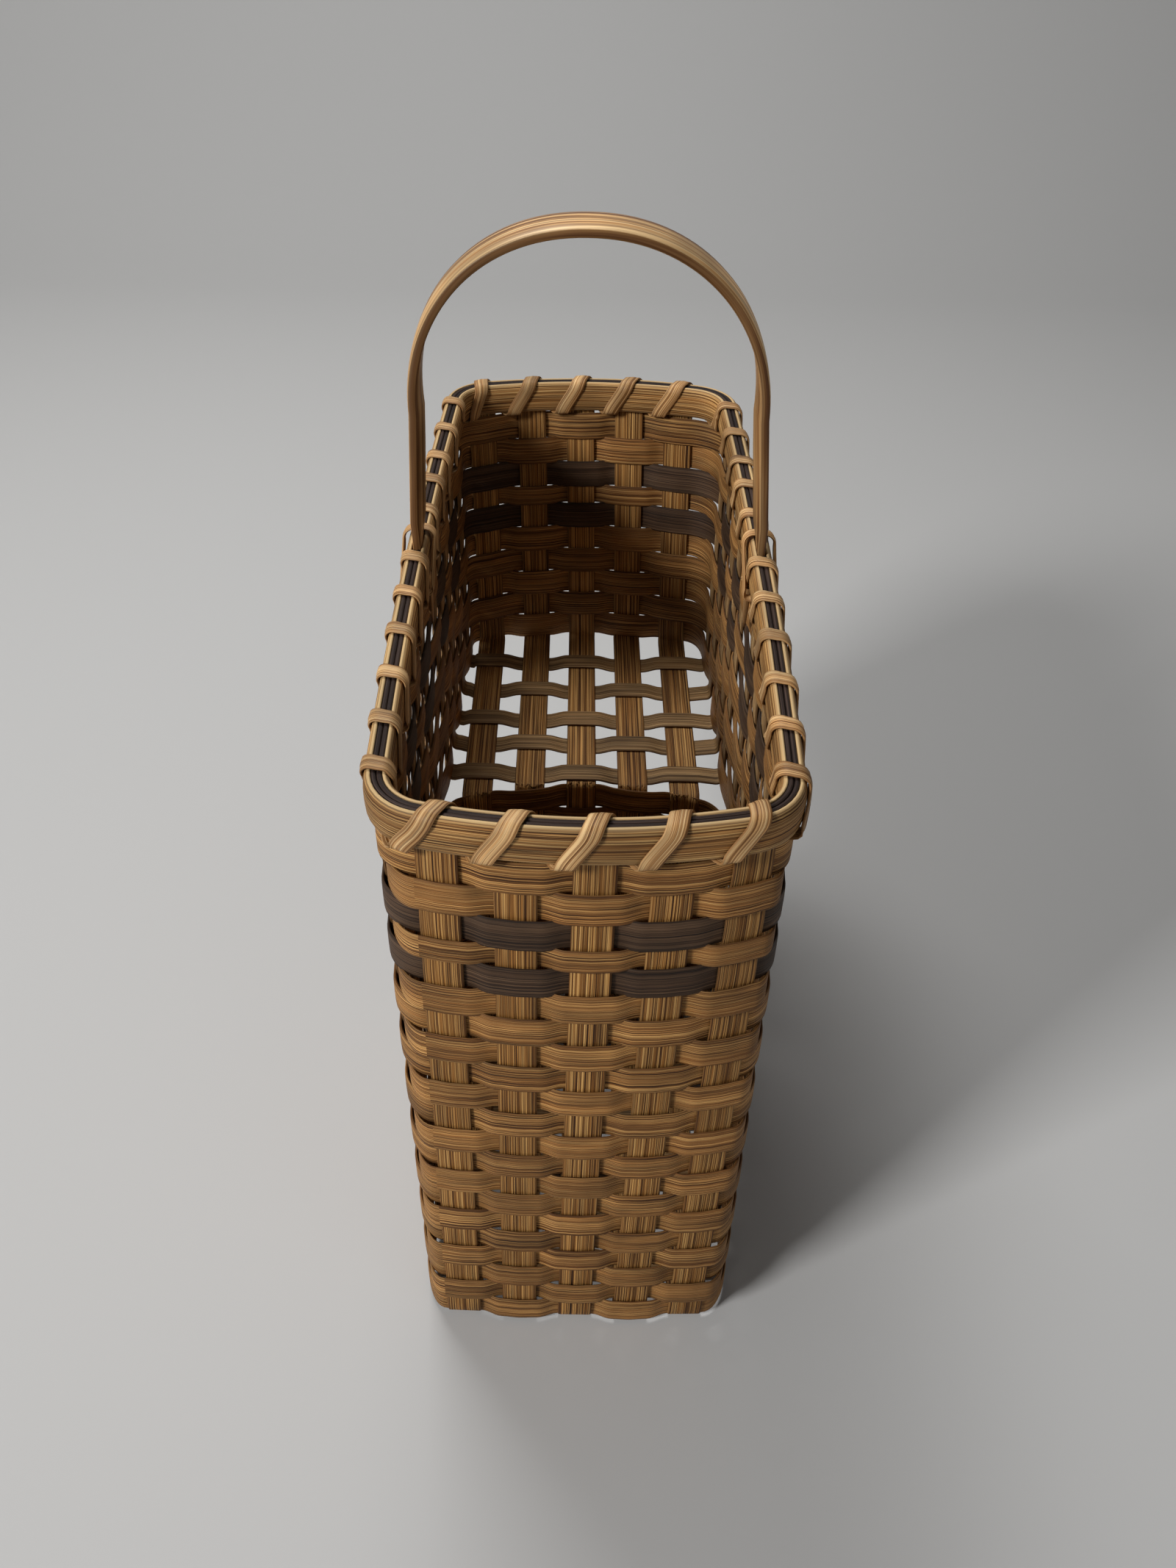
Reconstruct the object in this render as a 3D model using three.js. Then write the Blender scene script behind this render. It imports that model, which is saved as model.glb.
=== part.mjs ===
// A splint stair basket: a deep end that stands on one stair and a shallow end that lies on the stair above.
// Millimetres, +Z up. The deep end faces -Y, and the origin is under the middle of the basket.
import * as THREE from "three";

// Flat reed, as it is sold: three quarter inch stakes, five eighth inch cross stakes and weavers.
const STAKE_WIDTH = 19.05;
const STAKE_THICKNESS = 1.6;
const CROSS_WIDTH = 15.9;
const CROSS_THICKNESS = 1.5;
const WEAVER_WIDTH = 16.2;
const NARROW_WEAVER_WIDTH = 12.2;
const WEAVER_THICKNESS = 1.3;
const CLEARANCE = 0.3;

// Rows of weaving, counted down from the rim.
const UPPER_ROWS = 10;
const LOWER_ROWS = 11;
const NARROW_ROW = 4;
const DYED_ROWS = [3, 5];
const ROW_GAP = 0.7;

// Plan of the walls, measured to the middle of their thickness.
const LENGTH = 457;
const RIM_HALF_WIDTH = 92.6;
const LOWER_SIDE_LEAN = 5.9;
const UPPER_SIDE_LEAN = 4;
const FLOOR_HALF_WIDTH = RIM_HALF_WIDTH - LOWER_SIDE_LEAN;
const UPPER_FLOOR_HALF_WIDTH = RIM_HALF_WIDTH - UPPER_SIDE_LEAN;
const RISER_FROM_NEAR_END = 259;
const NEAR_WALL_LEAN = 1;
const FAR_WALL_LEAN = 18;
const RIM_CORNER_RADIUS = 26;
const FLOOR_CORNER_RADIUS = 17;
const RIM_END_ARC = 14;
const NEAR_FLOOR_ARC = 3; // the deep end's wall stands on a nearly straight edge
const RISER_ARC = 22;
const SIDE_ARC_ANGLE = 2;

// Long stakes: how far in from the side the outermost ones stand, and how far to the right the set lies.
const LONG_STAKES = 5;
const NEAR_RIM = { inset: 25.1, shift: 5 };
const NEAR_FLOOR = { inset: 23.3, shift: -1 };
const RISER = { inset: 20.7, shift: -2.5 };
const FAR_FLOOR = { inset: 22.7, shift: -4.3 };
const FAR_RIM = { inset: 26.6, shift: -7.5 };

// Cross stakes: the first and the last of each end keep their distance from the walls, and the others
// stand at these shares of the way between them. Those of the shallow end fan out towards the rim.
const LOWER_CROSS_SHARES = [0, 0.19, 0.39, 0.6, 0.8, 1];
const FIRST_CROSS_FROM_NEAR_END = 36;
const LAST_LOWER_CROSS_FROM_RISER = 44;
const UPPER_CROSS_SHARES = [0, 0.248, 0.461, 0.731, 1];
const FIRST_UPPER_CROSS_FROM_RISER = 11.2;
const LAST_CROSS_FROM_FAR_END = 39.5;
const LOWER_CROSS_STAKES = LOWER_CROSS_SHARES.length;

// Bends of the reed.
const FLAT_PAST_STAKE = 1; // a weaver stays flat this far past each edge of a stake
const FLOOR_FLAT = 0.5; // and a cross stake this far past each edge of a long stake
const FOLD_EASE = 0.1; // between a stake's fold and the row that rests on it
const RIM_BEND = 4; // height above the underside of the rim where a stake has reached its hoop
const FLOOR_TURN = 12; // from a fold to where a long stake lies square in the floor

// Rim: two hoops, a dark round filler between them, and a light lashing round all of it.
const HOOP_HEIGHT = 20;
const HOOP_THICKNESS = 3.6;
const HOOP_EDGE_ROUND = 1;
const RIM_SLOT = 5.2;
const LASH_GAP = 3.2;
const FILLER_HEIGHT = 3.8;
const LASH_WIDTH = 8;
const LASH_THICKNESS = 1.2;
const LASH_EASE = 0.15; // more than the usual clearance, as the strip turns over the rim's edges
const LASH_FROM_NECK = 0.8;

// Handle: one bent strip, flat inside and crowned outside.
const HANDLE_RISE = 189.5; // from the underside of the rim to the top of the crown
const HANDLE_LEG_HEIGHT = 94;
const HANDLE_TOP_WIDTH = 27;
const HANDLE_LEG_WIDTH = 17.6;
const HANDLE_NECK_WIDTH = 13;
const HANDLE_FROM_STAKE = 1.2; // from the last cross stake of the deep end to the leg
const HANDLE_EDGE = 4.4;
const HANDLE_CROWN = 1.8;
const HANDLE_TAIL = 30;
const HANDLE_TIP = { width: 5, edge: 1.5, crown: 0.2, inward: 0.4 };
const HANDLE_TAIL_FORM = { edge: 2.6, crown: 0.1, under: 0.2 };
const HANDLE_NECK_FORM = { edge: 2.9, crown: 0.1, rise: 0.6 };
const HANDLE_SLOT_CROWN = 0.7;
const HANDLE_LEG_RUN = { from: 3, above: 1, full: 14, mid: 75 }; // heights at which the leg's section changes
const HANDLE_LEG_SPREAD = 1.5;
const HANDLE_SKEW = 3; // the arch leans this far to the left at its top
const HANDLE_ARCH_INSET = 4.3; // each leg leans in this far on its way up to the arch

// Fineness of the curves.
const CORNER_STEPS = 6;
const ARC_STEPS = 4;
const HANDLE_ARCH_STEPS = 18;
const TWIST_STEP = 3; // degrees that a stake twists between two of its sections
const HOOP_FACET = 0.2; // how far the facets of a hoop cut in from its true curve

const HONEY = new THREE.MeshStandardMaterial({ color: 0xb98a52, roughness: 0.7 });
const PALE = new THREE.MeshStandardMaterial({ color: 0xd2ab74, roughness: 0.65 });
const DYED = new THREE.MeshStandardMaterial({ color: 0x3b2b26, roughness: 0.75 });
const FILLER = new THREE.MeshStandardMaterial({ color: 0x40342f, roughness: 0.8 });
const LASHING = new THREE.MeshStandardMaterial({ color: 0xd9b27c, roughness: 0.6 });
const HANDLE_WOOD = new THREE.MeshStandardMaterial({ color: 0x9a6636, roughness: 0.55 });

// Heights, built up from the floor. A floor stake lies on the low crossings of the cross stakes.
const FLOOR_Z = CROSS_THICKNESS + CLEARANCE + STAKE_THICKNESS / 2;
const ROW_PITCH = WEAVER_WIDTH + ROW_GAP;
const ROW_OVER_FOLD = STAKE_THICKNESS / 2 + CLEARANCE + FOLD_EASE;
const LOWEST_ROW_Z = FLOOR_Z + ROW_OVER_FOLD;
const LOWER_TOP_Z = LOWEST_ROW_Z + LOWER_ROWS * ROW_PITCH - ROW_GAP;
const UPPER_FLOOR_Z = LOWER_TOP_Z + ROW_OVER_FOLD;
const ROW_ONE_TOP_Z =
  UPPER_FLOOR_Z + ROW_OVER_FOLD + UPPER_ROWS * ROW_PITCH - ROW_GAP - (WEAVER_WIDTH - NARROW_WEAVER_WIDTH);
const RIM_UNDER_Z = ROW_ONE_TOP_Z + LASH_GAP;
const RIM_TOP_Z = RIM_UNDER_Z + HOOP_HEIGHT;
const FILLER_UNDER_Z = RIM_TOP_Z - FILLER_HEIGHT;
const STAKE_TOP_Z = FILLER_UNDER_Z - CLEARANCE;

const NEAR_Y = -LENGTH / 2;
const RAD = Math.PI / 180;
const mix = (a, b, t) => a + (b - a) * t;
const vec = (x, y, z) => new THREE.Vector3(x, y, z);

// A closed plan of tangent arcs: a bulged end, a round corner and a bulged side in each quarter.
// A place on a quarter is given by its heading, from 0 at the middle of the end to 90 at the middle of the side.
function makePlan(nearY, farY, halfWidth, cornerRadius, endArc) {
  const e = endArc * RAD;
  const s = SIDE_ARC_ANGLE * RAD;
  const halfLength = (farY - nearY) / 2;
  const wantX = halfWidth - cornerRadius * (Math.cos(s) - Math.sin(e));
  const wantY = halfLength - cornerRadius * (Math.cos(e) - Math.sin(s));
  const [a, b, c, d] = [Math.sin(e), 1 - Math.cos(s), 1 - Math.cos(e), Math.sin(s)];
  const endRadius = (wantX * d - b * wantY) / (a * d - b * c);
  const sideRadius = (a * wantY - c * wantX) / (a * d - b * c);
  return { centreY: (nearY + farY) / 2, halfLength, endArc, endRadius, cornerRadius, sideRadius };
}

// The point and the outward normal at a heading (degrees) of the quarter at side sx and end sy (each 1 or -1).
function planPoint(plan, heading, sx, sy) {
  const h = heading * RAD;
  const e = plan.endArc * RAD;
  const s = Math.PI / 2 - SIDE_ARC_ANGLE * RAD;
  const [h1, h2, h3] = [Math.min(h, e), Math.min(Math.max(h, e), s), Math.max(h, s)];
  const x = plan.endRadius * Math.sin(h1) + plan.cornerRadius * (Math.sin(h2) - Math.sin(e))
    + plan.sideRadius * (Math.sin(h3) - Math.sin(s));
  const y = plan.endRadius * (1 - Math.cos(h1)) + plan.cornerRadius * (Math.cos(e) - Math.cos(h2))
    + plan.sideRadius * (Math.cos(s) - Math.cos(h3));
  return {
    p: vec(sx * x, plan.centreY + sy * (plan.halfLength - y), 0),
    n: vec(sx * Math.sin(h), sy * Math.cos(h), 0),
    radius: h < e ? plan.endRadius : h < s ? plan.cornerRadius : plan.sideRadius,
  };
}

// The heading at which a quarter reaches a distance from the middle line (axis x) or from its end (axis y).
function headingAt(plan, axis, wanted) {
  let [low, high] = [0, 90];
  for (let i = 0; i < 40; i++) {
    const mid = (low + high) / 2;
    const at = planPoint(plan, mid, 1, -1).p;
    const reached = axis === "x" ? at.x : at.y - (plan.centreY - plan.halfLength);
    if (reached < wanted) low = mid;
    else high = mid;
  }
  return (low + high) / 2;
}

const placeAtX = (plan, x, sy) => planPoint(plan, headingAt(plan, "x", Math.abs(x)), x < 0 ? -1 : 1, sy);
function placeAtY(plan, y, sx) {
  const sy = y < plan.centreY ? -1 : 1;
  const fromEnd = plan.halfLength - Math.abs(y - plan.centreY);
  return planPoint(plan, headingAt(plan, "y", fromEnd), sx, sy);
}

const lowerEnds = [NEAR_Y + NEAR_WALL_LEAN, NEAR_Y + RISER_FROM_NEAR_END];
const upperEnds = [NEAR_Y, NEAR_Y + LENGTH - FAR_WALL_LEAN];
const rimPlan = makePlan(NEAR_Y, NEAR_Y + LENGTH, RIM_HALF_WIDTH, RIM_CORNER_RADIUS, RIM_END_ARC);
const lowerPlan = makePlan(...lowerEnds, FLOOR_HALF_WIDTH, FLOOR_CORNER_RADIUS, NEAR_FLOOR_ARC);
const riserPlan = makePlan(...lowerEnds, FLOOR_HALF_WIDTH, FLOOR_CORNER_RADIUS, RISER_ARC);
const upperPlan = makePlan(...upperEnds, UPPER_FLOOR_HALF_WIDTH, RIM_CORNER_RADIUS, RIM_END_ARC);

// A wall line follows one stake up a wall, from its fold at the floor to the rim.
function wallLine(low, lowZ, high, highZ, width, parity) {
  return {
    lowZ, highZ, width, parity,
    twist: low.n.angleTo(high.n) / RAD,
    at(z) {
      const t = Math.min(1, (z - lowZ) / (highZ - lowZ));
      const n = low.n.clone().lerp(high.n, t).normalize();
      const p = low.p.clone().lerp(high.p, t).setZ(z);
      return { p, n, along: vec(-n.y, n.x, 0) };
    },
  };
}

// Where the cross stakes lie in the floors, and where they reach the rim.
const shared = (from, to, shares) => shares.map((share) => NEAR_Y + mix(from, to, share));
const lowerCrossY = shared(
  FIRST_CROSS_FROM_NEAR_END, RISER_FROM_NEAR_END - LAST_LOWER_CROSS_FROM_RISER, LOWER_CROSS_SHARES);
const upperCrossY = (end) => shared(
  RISER_FROM_NEAR_END + FIRST_UPPER_CROSS_FROM_RISER, end - LAST_CROSS_FROM_FAR_END, UPPER_CROSS_SHARES);
const crossY = [...lowerCrossY, ...upperCrossY(LENGTH - FAR_WALL_LEAN)];
const crossRimY = [...lowerCrossY, ...upperCrossY(LENGTH)];
const HANDLE_Y = crossY[LOWER_CROSS_STAKES - 1] + CROSS_WIDTH / 2 + HANDLE_FROM_STAKE + HANDLE_LEG_WIDTH / 2;

// Parity 1 means that the odd rows pass outside the stake, and -1 that they pass inside it.
const longIndex = (k) => k - (LONG_STAKES - 1) / 2;
const longParity = (k) => (k % 2 === 0 ? -1 : 1);
const crossParity = (i) => (i % 2 === 0 ? 1 : -1);

const nearLines = [];
const riserLines = [];
const farLines = [];
for (let k = 0; k < LONG_STAKES; k++) {
  const place = (plan, sy, halfWidth, { inset, shift }) =>
    placeAtX(plan, longIndex(k) / longIndex(LONG_STAKES - 1) * (halfWidth - inset) + shift, sy);
  const line = (low, lowZ, high, highZ, sign) =>
    wallLine(low, lowZ, high, highZ, STAKE_WIDTH, sign * longParity(k));
  const riser = place(riserPlan, 1, FLOOR_HALF_WIDTH, RISER);
  nearLines.push(line(
    place(lowerPlan, -1, FLOOR_HALF_WIDTH, NEAR_FLOOR), FLOOR_Z,
    place(rimPlan, -1, RIM_HALF_WIDTH, NEAR_RIM), RIM_UNDER_Z, 1));
  riserLines.push(line(riser, FLOOR_Z, riser, UPPER_FLOOR_Z, -1));
  farLines.push(line(
    place(upperPlan, 1, UPPER_FLOOR_HALF_WIDTH, FAR_FLOOR), UPPER_FLOOR_Z,
    place(rimPlan, 1, RIM_HALF_WIDTH, FAR_RIM), RIM_UNDER_Z, 1));
}
const sideLines = (sx) => crossY.map((y, i) => {
  const lower = i < LOWER_CROSS_STAKES;
  return wallLine(
    placeAtY(lower ? lowerPlan : upperPlan, y, sx), lower ? FLOOR_Z : UPPER_FLOOR_Z,
    placeAtY(rimPlan, crossRimY[i], sx), RIM_UNDER_Z, CROSS_WIDTH, crossParity(i));
});
const rightLines = sideLines(1);
const leftLines = sideLines(-1);

// Every ring runs counter-clockwise seen from above, from the left stake of the near wall.
const upperRing = [...nearLines, ...rightLines, ...farLines.toReversed(), ...leftLines.toReversed()];
const lowerRing = [
  ...nearLines,
  ...rightLines.slice(0, LOWER_CROSS_STAKES),
  ...riserLines.toReversed(),
  ...leftLines.slice(0, LOWER_CROSS_STAKES).toReversed(),
];

// A mesh from rings of points that are joined side by side, closed round or capped at both ends.
function sweptMesh(name, material, rings, closed) {
  const count = rings[0].length;
  const position = rings.flat().flatMap((v) => [v.x, v.y, v.z]);
  const index = [];
  const spans = closed ? rings.length : rings.length - 1;
  for (let i = 0; i < spans; i++) {
    const a = i * count;
    const b = ((i + 1) % rings.length) * count;
    for (let j = 0; j < count; j++) {
      const k = (j + 1) % count;
      index.push(a + j, a + k, b + k, a + j, b + k, b + j);
    }
  }
  if (!closed) {
    const last = (rings.length - 1) * count;
    for (let j = 1; j < count - 1; j++) {
      index.push(0, j + 1, j);
      index.push(last, last + j, last + j + 1);
    }
  }
  const points = rings.flat();
  let volume = 0;
  for (let i = 0; i < index.length; i += 3)
    volume += points[index[i]].dot(points[index[i + 1]].clone().cross(points[index[i + 2]]));
  if (volume < 0) index.reverse();
  const geometry = new THREE.BufferGeometry();
  geometry.setAttribute("position", new THREE.Float32BufferAttribute(position, 3));
  geometry.setIndex(index);
  geometry.computeVertexNormals();
  const mesh = new THREE.Mesh(geometry, material);
  mesh.name = name;
  return mesh;
}

// A flat ribbon through sections that each hold a centre and half a width, mitred where it bends.
function ribbon(name, material, sections, thickness) {
  const faceNormal = (a, b) => {
    const across = a.half.clone().add(b.half);
    return b.centre.clone().sub(a.centre).cross(across).normalize();
  };
  const rings = sections.map((s, i) => {
    const before = i > 0 ? faceNormal(sections[i - 1], s) : faceNormal(s, sections[i + 1]);
    const after = i < sections.length - 1 ? faceNormal(s, sections[i + 1]) : before;
    const t = before.clone().add(after).multiplyScalar(thickness / 2 / (1 + before.dot(after)));
    return [
      s.centre.clone().sub(s.half).sub(t),
      s.centre.clone().add(s.half).sub(t),
      s.centre.clone().add(s.half).add(t),
      s.centre.clone().sub(s.half).add(t),
    ];
  });
  return sweptMesh(name, material, rings, false);
}

// A weaver: an upright band round the ring, flat where it crosses a stake, straight between stakes.
function weaverRow(row) {
  const upper = row <= UPPER_ROWS;
  const lines = upper ? upperRing : lowerRing;
  const width = row === NARROW_ROW ? NARROW_WEAVER_WIDTH : WEAVER_WIDTH;
  const base = upper
    ? UPPER_FLOOR_Z + ROW_OVER_FOLD + (UPPER_ROWS - row) * ROW_PITCH
      - (row < NARROW_ROW ? WEAVER_WIDTH - NARROW_WEAVER_WIDTH : 0)
    : LOWEST_ROW_Z + (UPPER_ROWS + LOWER_ROWS - row) * ROW_PITCH;
  const rowSign = row % 2 === 1 ? 1 : -1;
  // The two faces of the band at one height, as pairs of points.
  const edge = (z) => {
    const path = [];
    for (const line of lines) {
      const { p, n, along } = line.at(z);
      const stake = line.width === STAKE_WIDTH ? STAKE_THICKNESS : CROSS_THICKNESS;
      const out = rowSign * line.parity * (stake / 2 + CLEARANCE + WEAVER_THICKNESS / 2);
      for (const side of [-1, 1])
        path.push(p.clone().addScaledVector(n, out).addScaledVector(along, side * (line.width / 2 + FLAT_PAST_STAKE)));
    }
    return path.map((p, i) => {
      const before = p.clone().sub(path.at(i - 1)).normalize();
      const after = path[(i + 1) % path.length].clone().sub(p).normalize();
      const nb = vec(before.y, -before.x, 0);
      const na = vec(after.y, -after.x, 0);
      const t = nb.clone().add(na).multiplyScalar(WEAVER_THICKNESS / 2 / (1 + nb.dot(na)));
      return [p.clone().sub(t), p.clone().add(t)];
    });
  };
  const top = edge(base + width);
  const rings = edge(base).map(([inside, outside], i) => [inside, outside, top[i][1], top[i][0]]);
  const name = "weaver_row_" + String(row).padStart(2, "0");
  return sweptMesh(name, DYED_ROWS.includes(row) ? DYED : HONEY, rings, true);
}

// The part of a stake in a wall, from the fold up to its end between the hoops.
// A stake that the rim folds over goes down again inside, against the inner hoop.
function stakeInWall(line, thickness, folded) {
  const half = (at) => at.along.clone().multiplyScalar(-line.width / 2);
  const lean = RIM_SLOT / 2 - CLEARANCE - HOOP_FACET - thickness / 2 - rimBow(line);
  const section = (z, out) => {
    const at = line.at(z);
    return { centre: at.p.clone().addScaledVector(at.n, out), half: half(at) };
  };
  const wallTop = ROW_ONE_TOP_Z + FOLD_EASE;
  const steps = Math.max(1, Math.ceil(line.twist / TWIST_STEP));
  const wall = Array.from({ length: steps + 1 }, (_, i) => section(mix(line.lowZ, wallTop, i / steps), 0));
  const sections = [
    ...wall,
    section(RIM_UNDER_Z + RIM_BEND, lean),
    section(STAKE_TOP_Z - thickness / 2, lean),
  ];
  if (folded) {
    const inside = -lean;
    sections.push(section(STAKE_TOP_Z - thickness / 2, inside));
    sections.push(section(RIM_UNDER_Z + RIM_BEND, inside));
  }
  return sections;
}

// A floor crossing: the cross stakes pass over and under the long stakes, which lie nearly straight.
const floorHalf = (width) => vec(-width / 2, 0, 0);

function longStake(k) {
  const m = longIndex(k);
  const [near, riser, far] = [nearLines[k], riserLines[k], farLines[k]];
  const floorPoint = (line, z, into) => {
    const at = line.at(z);
    return { centre: at.p.clone().add(vec(0, into, 0)), half: floorHalf(STAKE_WIDTH) };
  };
  const riserHalf = (at) => at.along.clone().multiplyScalar(STAKE_WIDTH / 2);
  const riserLow = riser.at(FLOOR_Z);
  const riserHigh = riser.at(UPPER_FLOOR_Z);
  const sections = [
    ...stakeInWall(near, STAKE_THICKNESS, longParity(k) > 0).toReversed(),
    floorPoint(near, FLOOR_Z, FLOOR_TURN),
    floorPoint(riser, FLOOR_Z, -FLOOR_TURN),
    { centre: riserLow.p, half: riserHalf(riserLow) },
    { centre: riserHigh.p, half: riserHalf(riserHigh) },
    floorPoint(riser, UPPER_FLOOR_Z, FLOOR_TURN),
    floorPoint(far, UPPER_FLOOR_Z, -FLOOR_TURN),
    ...stakeInWall(far, STAKE_THICKNESS, longParity(k) > 0)
      .map((s) => ({ centre: s.centre, half: s.half.negate() })),
  ];
  return ribbon("long_stake_" + (m + (LONG_STAKES + 1) / 2), PALE, sections, STAKE_THICKNESS);
}

function crossStake(i) {
  const lower = i < LOWER_CROSS_STAKES;
  const z = lower ? FLOOR_Z : UPPER_FLOOR_Z;
  const half = vec(0, CROSS_WIDTH / 2, 0);
  const wave = STAKE_THICKNESS / 2 + CLEARANCE + CROSS_THICKNESS / 2;
  const sections = stakeInWall(leftLines[i], CROSS_THICKNESS, crossParity(i) > 0).toReversed();
  const [from, to] = lower ? [nearLines, riserLines] : [riserLines, farLines];
  const run = WEAVER_THICKNESS + 2 * CLEARANCE + STAKE_THICKNESS / 2;
  const wallX = rightLines[i].at(z).p.x;
  sections.push({ centre: vec(run - wallX, crossY[i], z), half });
  for (let k = 0; k < LONG_STAKES; k++) {
    const a = from[k].at(z).p;
    const b = to[k].at(z).p;
    const x = mix(a.x, b.x, (crossY[i] - a.y) / (b.y - a.y));
    const over = (lower ? i : i - LOWER_CROSS_STAKES) % 2 === k % 2 ? 1 : -1;
    for (const side of [-1, 1])
      sections.push({ centre: vec(x + side * (STAKE_WIDTH / 2 + FLOOR_FLAT), crossY[i], z + over * wave), half });
  }
  sections.push({ centre: vec(wallX - run, crossY[i], z), half });
  const right = stakeInWall(rightLines[i], CROSS_THICKNESS, crossParity(i) > 0);
  sections.push(...right.map((s) => ({ centre: s.centre, half: s.half.negate() })));
  const name = "cross_stake_" + String(i + 1).padStart(2, "0");
  return ribbon(name, HONEY, sections, CROSS_THICKNESS);
}

// The stations of the rim plan, counter-clockwise from the middle of the near end.
function rimStations() {
  const headings = [];
  for (let i = 0; i < ARC_STEPS; i++) headings.push(RIM_END_ARC * i / ARC_STEPS);
  const corner = 90 - SIDE_ARC_ANGLE - RIM_END_ARC;
  for (let i = 0; i < CORNER_STEPS; i++) headings.push(RIM_END_ARC + corner * i / CORNER_STEPS);
  for (let i = 0; i < ARC_STEPS; i++) headings.push(90 - SIDE_ARC_ANGLE + SIDE_ARC_ANGLE * i / ARC_STEPS);
  const back = [90, ...headings.slice(1).toReversed()];
  return [
    ...headings.map((h) => planPoint(rimPlan, h, 1, -1)),
    ...back.map((h) => planPoint(rimPlan, h, 1, 1)),
    ...headings.map((h) => planPoint(rimPlan, h, -1, 1)),
    ...back.map((h) => planPoint(rimPlan, h, -1, -1)),
  ];
}

// How far the rim falls away from the flat of a stake at the stake's edges.
function rimBow(line) {
  const { p, n } = line.at(RIM_UNDER_Z);
  const middle = distanceOf(p);
  return Math.max(...[-1, 1].map((side) => {
    const edge = rimAt(middle + side * line.width / 2).p;
    return p.clone().sub(edge).dot(n);
  }));
}

// A hoop stands on its edge, with its free edges eased.
function hoop(name, side) {
  const [face, back] = [RIM_SLOT / 2, RIM_SLOT / 2 + HOOP_THICKNESS];
  const profile = [
    [face, RIM_UNDER_Z],
    [back - HOOP_EDGE_ROUND, RIM_UNDER_Z],
    [back, RIM_UNDER_Z + HOOP_EDGE_ROUND],
    [back, RIM_TOP_Z - HOOP_EDGE_ROUND],
    [back - HOOP_EDGE_ROUND, RIM_TOP_Z],
    [face, RIM_TOP_Z],
  ];
  const rings = rimStations().map(({ p, n }) =>
    profile.map(([out, z]) => p.clone().addScaledVector(n, side * out).setZ(z)));
  return sweptMesh(name, PALE, rings, true);
}

// The filler lies in the slot and stops at each handle leg.
function filler(name, sy) {
  const half = RIM_SLOT / 2 - CLEARANCE;
  const stop = HANDLE_Y + sy * (HANDLE_LEG_WIDTH / 2 + 2 * CLEARANCE);
  const between = rimStations().filter(({ p }) => sy * (p.y - stop) > 1);
  const run = [placeAtY(rimPlan, stop, 1), placeAtY(rimPlan, stop, -1), ...between];
  run.sort((a, b) => Math.atan2(a.p.y, a.p.x) - Math.atan2(b.p.y, b.p.x));
  const corner = half * 0.6;
  const ease = FILLER_HEIGHT * 0.3;
  const [low, high] = [FILLER_UNDER_Z, RIM_TOP_Z];
  const profile = [
    [-corner, low], [corner, low], [half, low + ease], [half, high - ease],
    [corner, high], [-corner, high], [-half, high - ease], [-half, low + ease],
  ];
  const rings = run.map(({ p, n }) =>
    profile.map(([out, z]) => p.clone().addScaledVector(n, out).setZ(z)));
  return sweptMesh(name, FILLER, rings, false);
}

// Distance along the rim plan, counter-clockwise from the middle of the near end.
const [endTurn, sideTurn] = [RIM_END_ARC * RAD, (90 - SIDE_ARC_ANGLE) * RAD];
const endRun = rimPlan.endRadius * endTurn;
const cornerRun = rimPlan.cornerRadius * (sideTurn - endTurn);
const sideRun = rimPlan.sideRadius * SIDE_ARC_ANGLE * RAD;
const quarterRun = endRun + cornerRun + sideRun;

function rimAt(distance) {
  const around = ((distance % (4 * quarterRun)) + 4 * quarterRun) % (4 * quarterRun);
  const quarter = Math.min(3, Math.floor(around / quarterRun));
  const part = around - quarter * quarterRun;
  const run = quarter % 2 === 0 ? part : quarterRun - part;
  const heading =
    run < endRun ? run / rimPlan.endRadius
      : run < endRun + cornerRun ? endTurn + (run - endRun) / rimPlan.cornerRadius
        : sideTurn + (run - endRun - cornerRun) / rimPlan.sideRadius;
  const place = planPoint(rimPlan, heading / RAD, quarter < 2 ? 1 : -1, quarter === 0 || quarter === 3 ? -1 : 1);
  return { ...place, along: vec(-place.n.y, place.n.x, 0) };
}

// The distance along the rim of the point of the rim plan that lies nearest to a place.
function distanceOf(place) {
  let [best, step] = [0, quarterRun / 50];
  const off = (s) => rimAt(s).p.distanceTo(vec(place.x, place.y, 0));
  for (let s = 0; s < 4 * quarterRun; s += step) if (off(s) < off(best)) best = s;
  for (; step > 1e-4; step /= 2) {
    if (off(best + step) < off(best)) best += step;
    else if (off(best - step) < off(best)) best -= step;
  }
  return best;
}

// One strip of lashing winds round the rim: up the outer face to a stake, over it, and down the inner face
// to the next gap between stakes, where it passes out under the hoops.
const HANDLE_LASH_Y = HANDLE_Y + HANDLE_NECK_WIDTH / 2 + 2 * CLEARANCE + LASH_FROM_NECK + LASH_WIDTH / 2;

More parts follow.
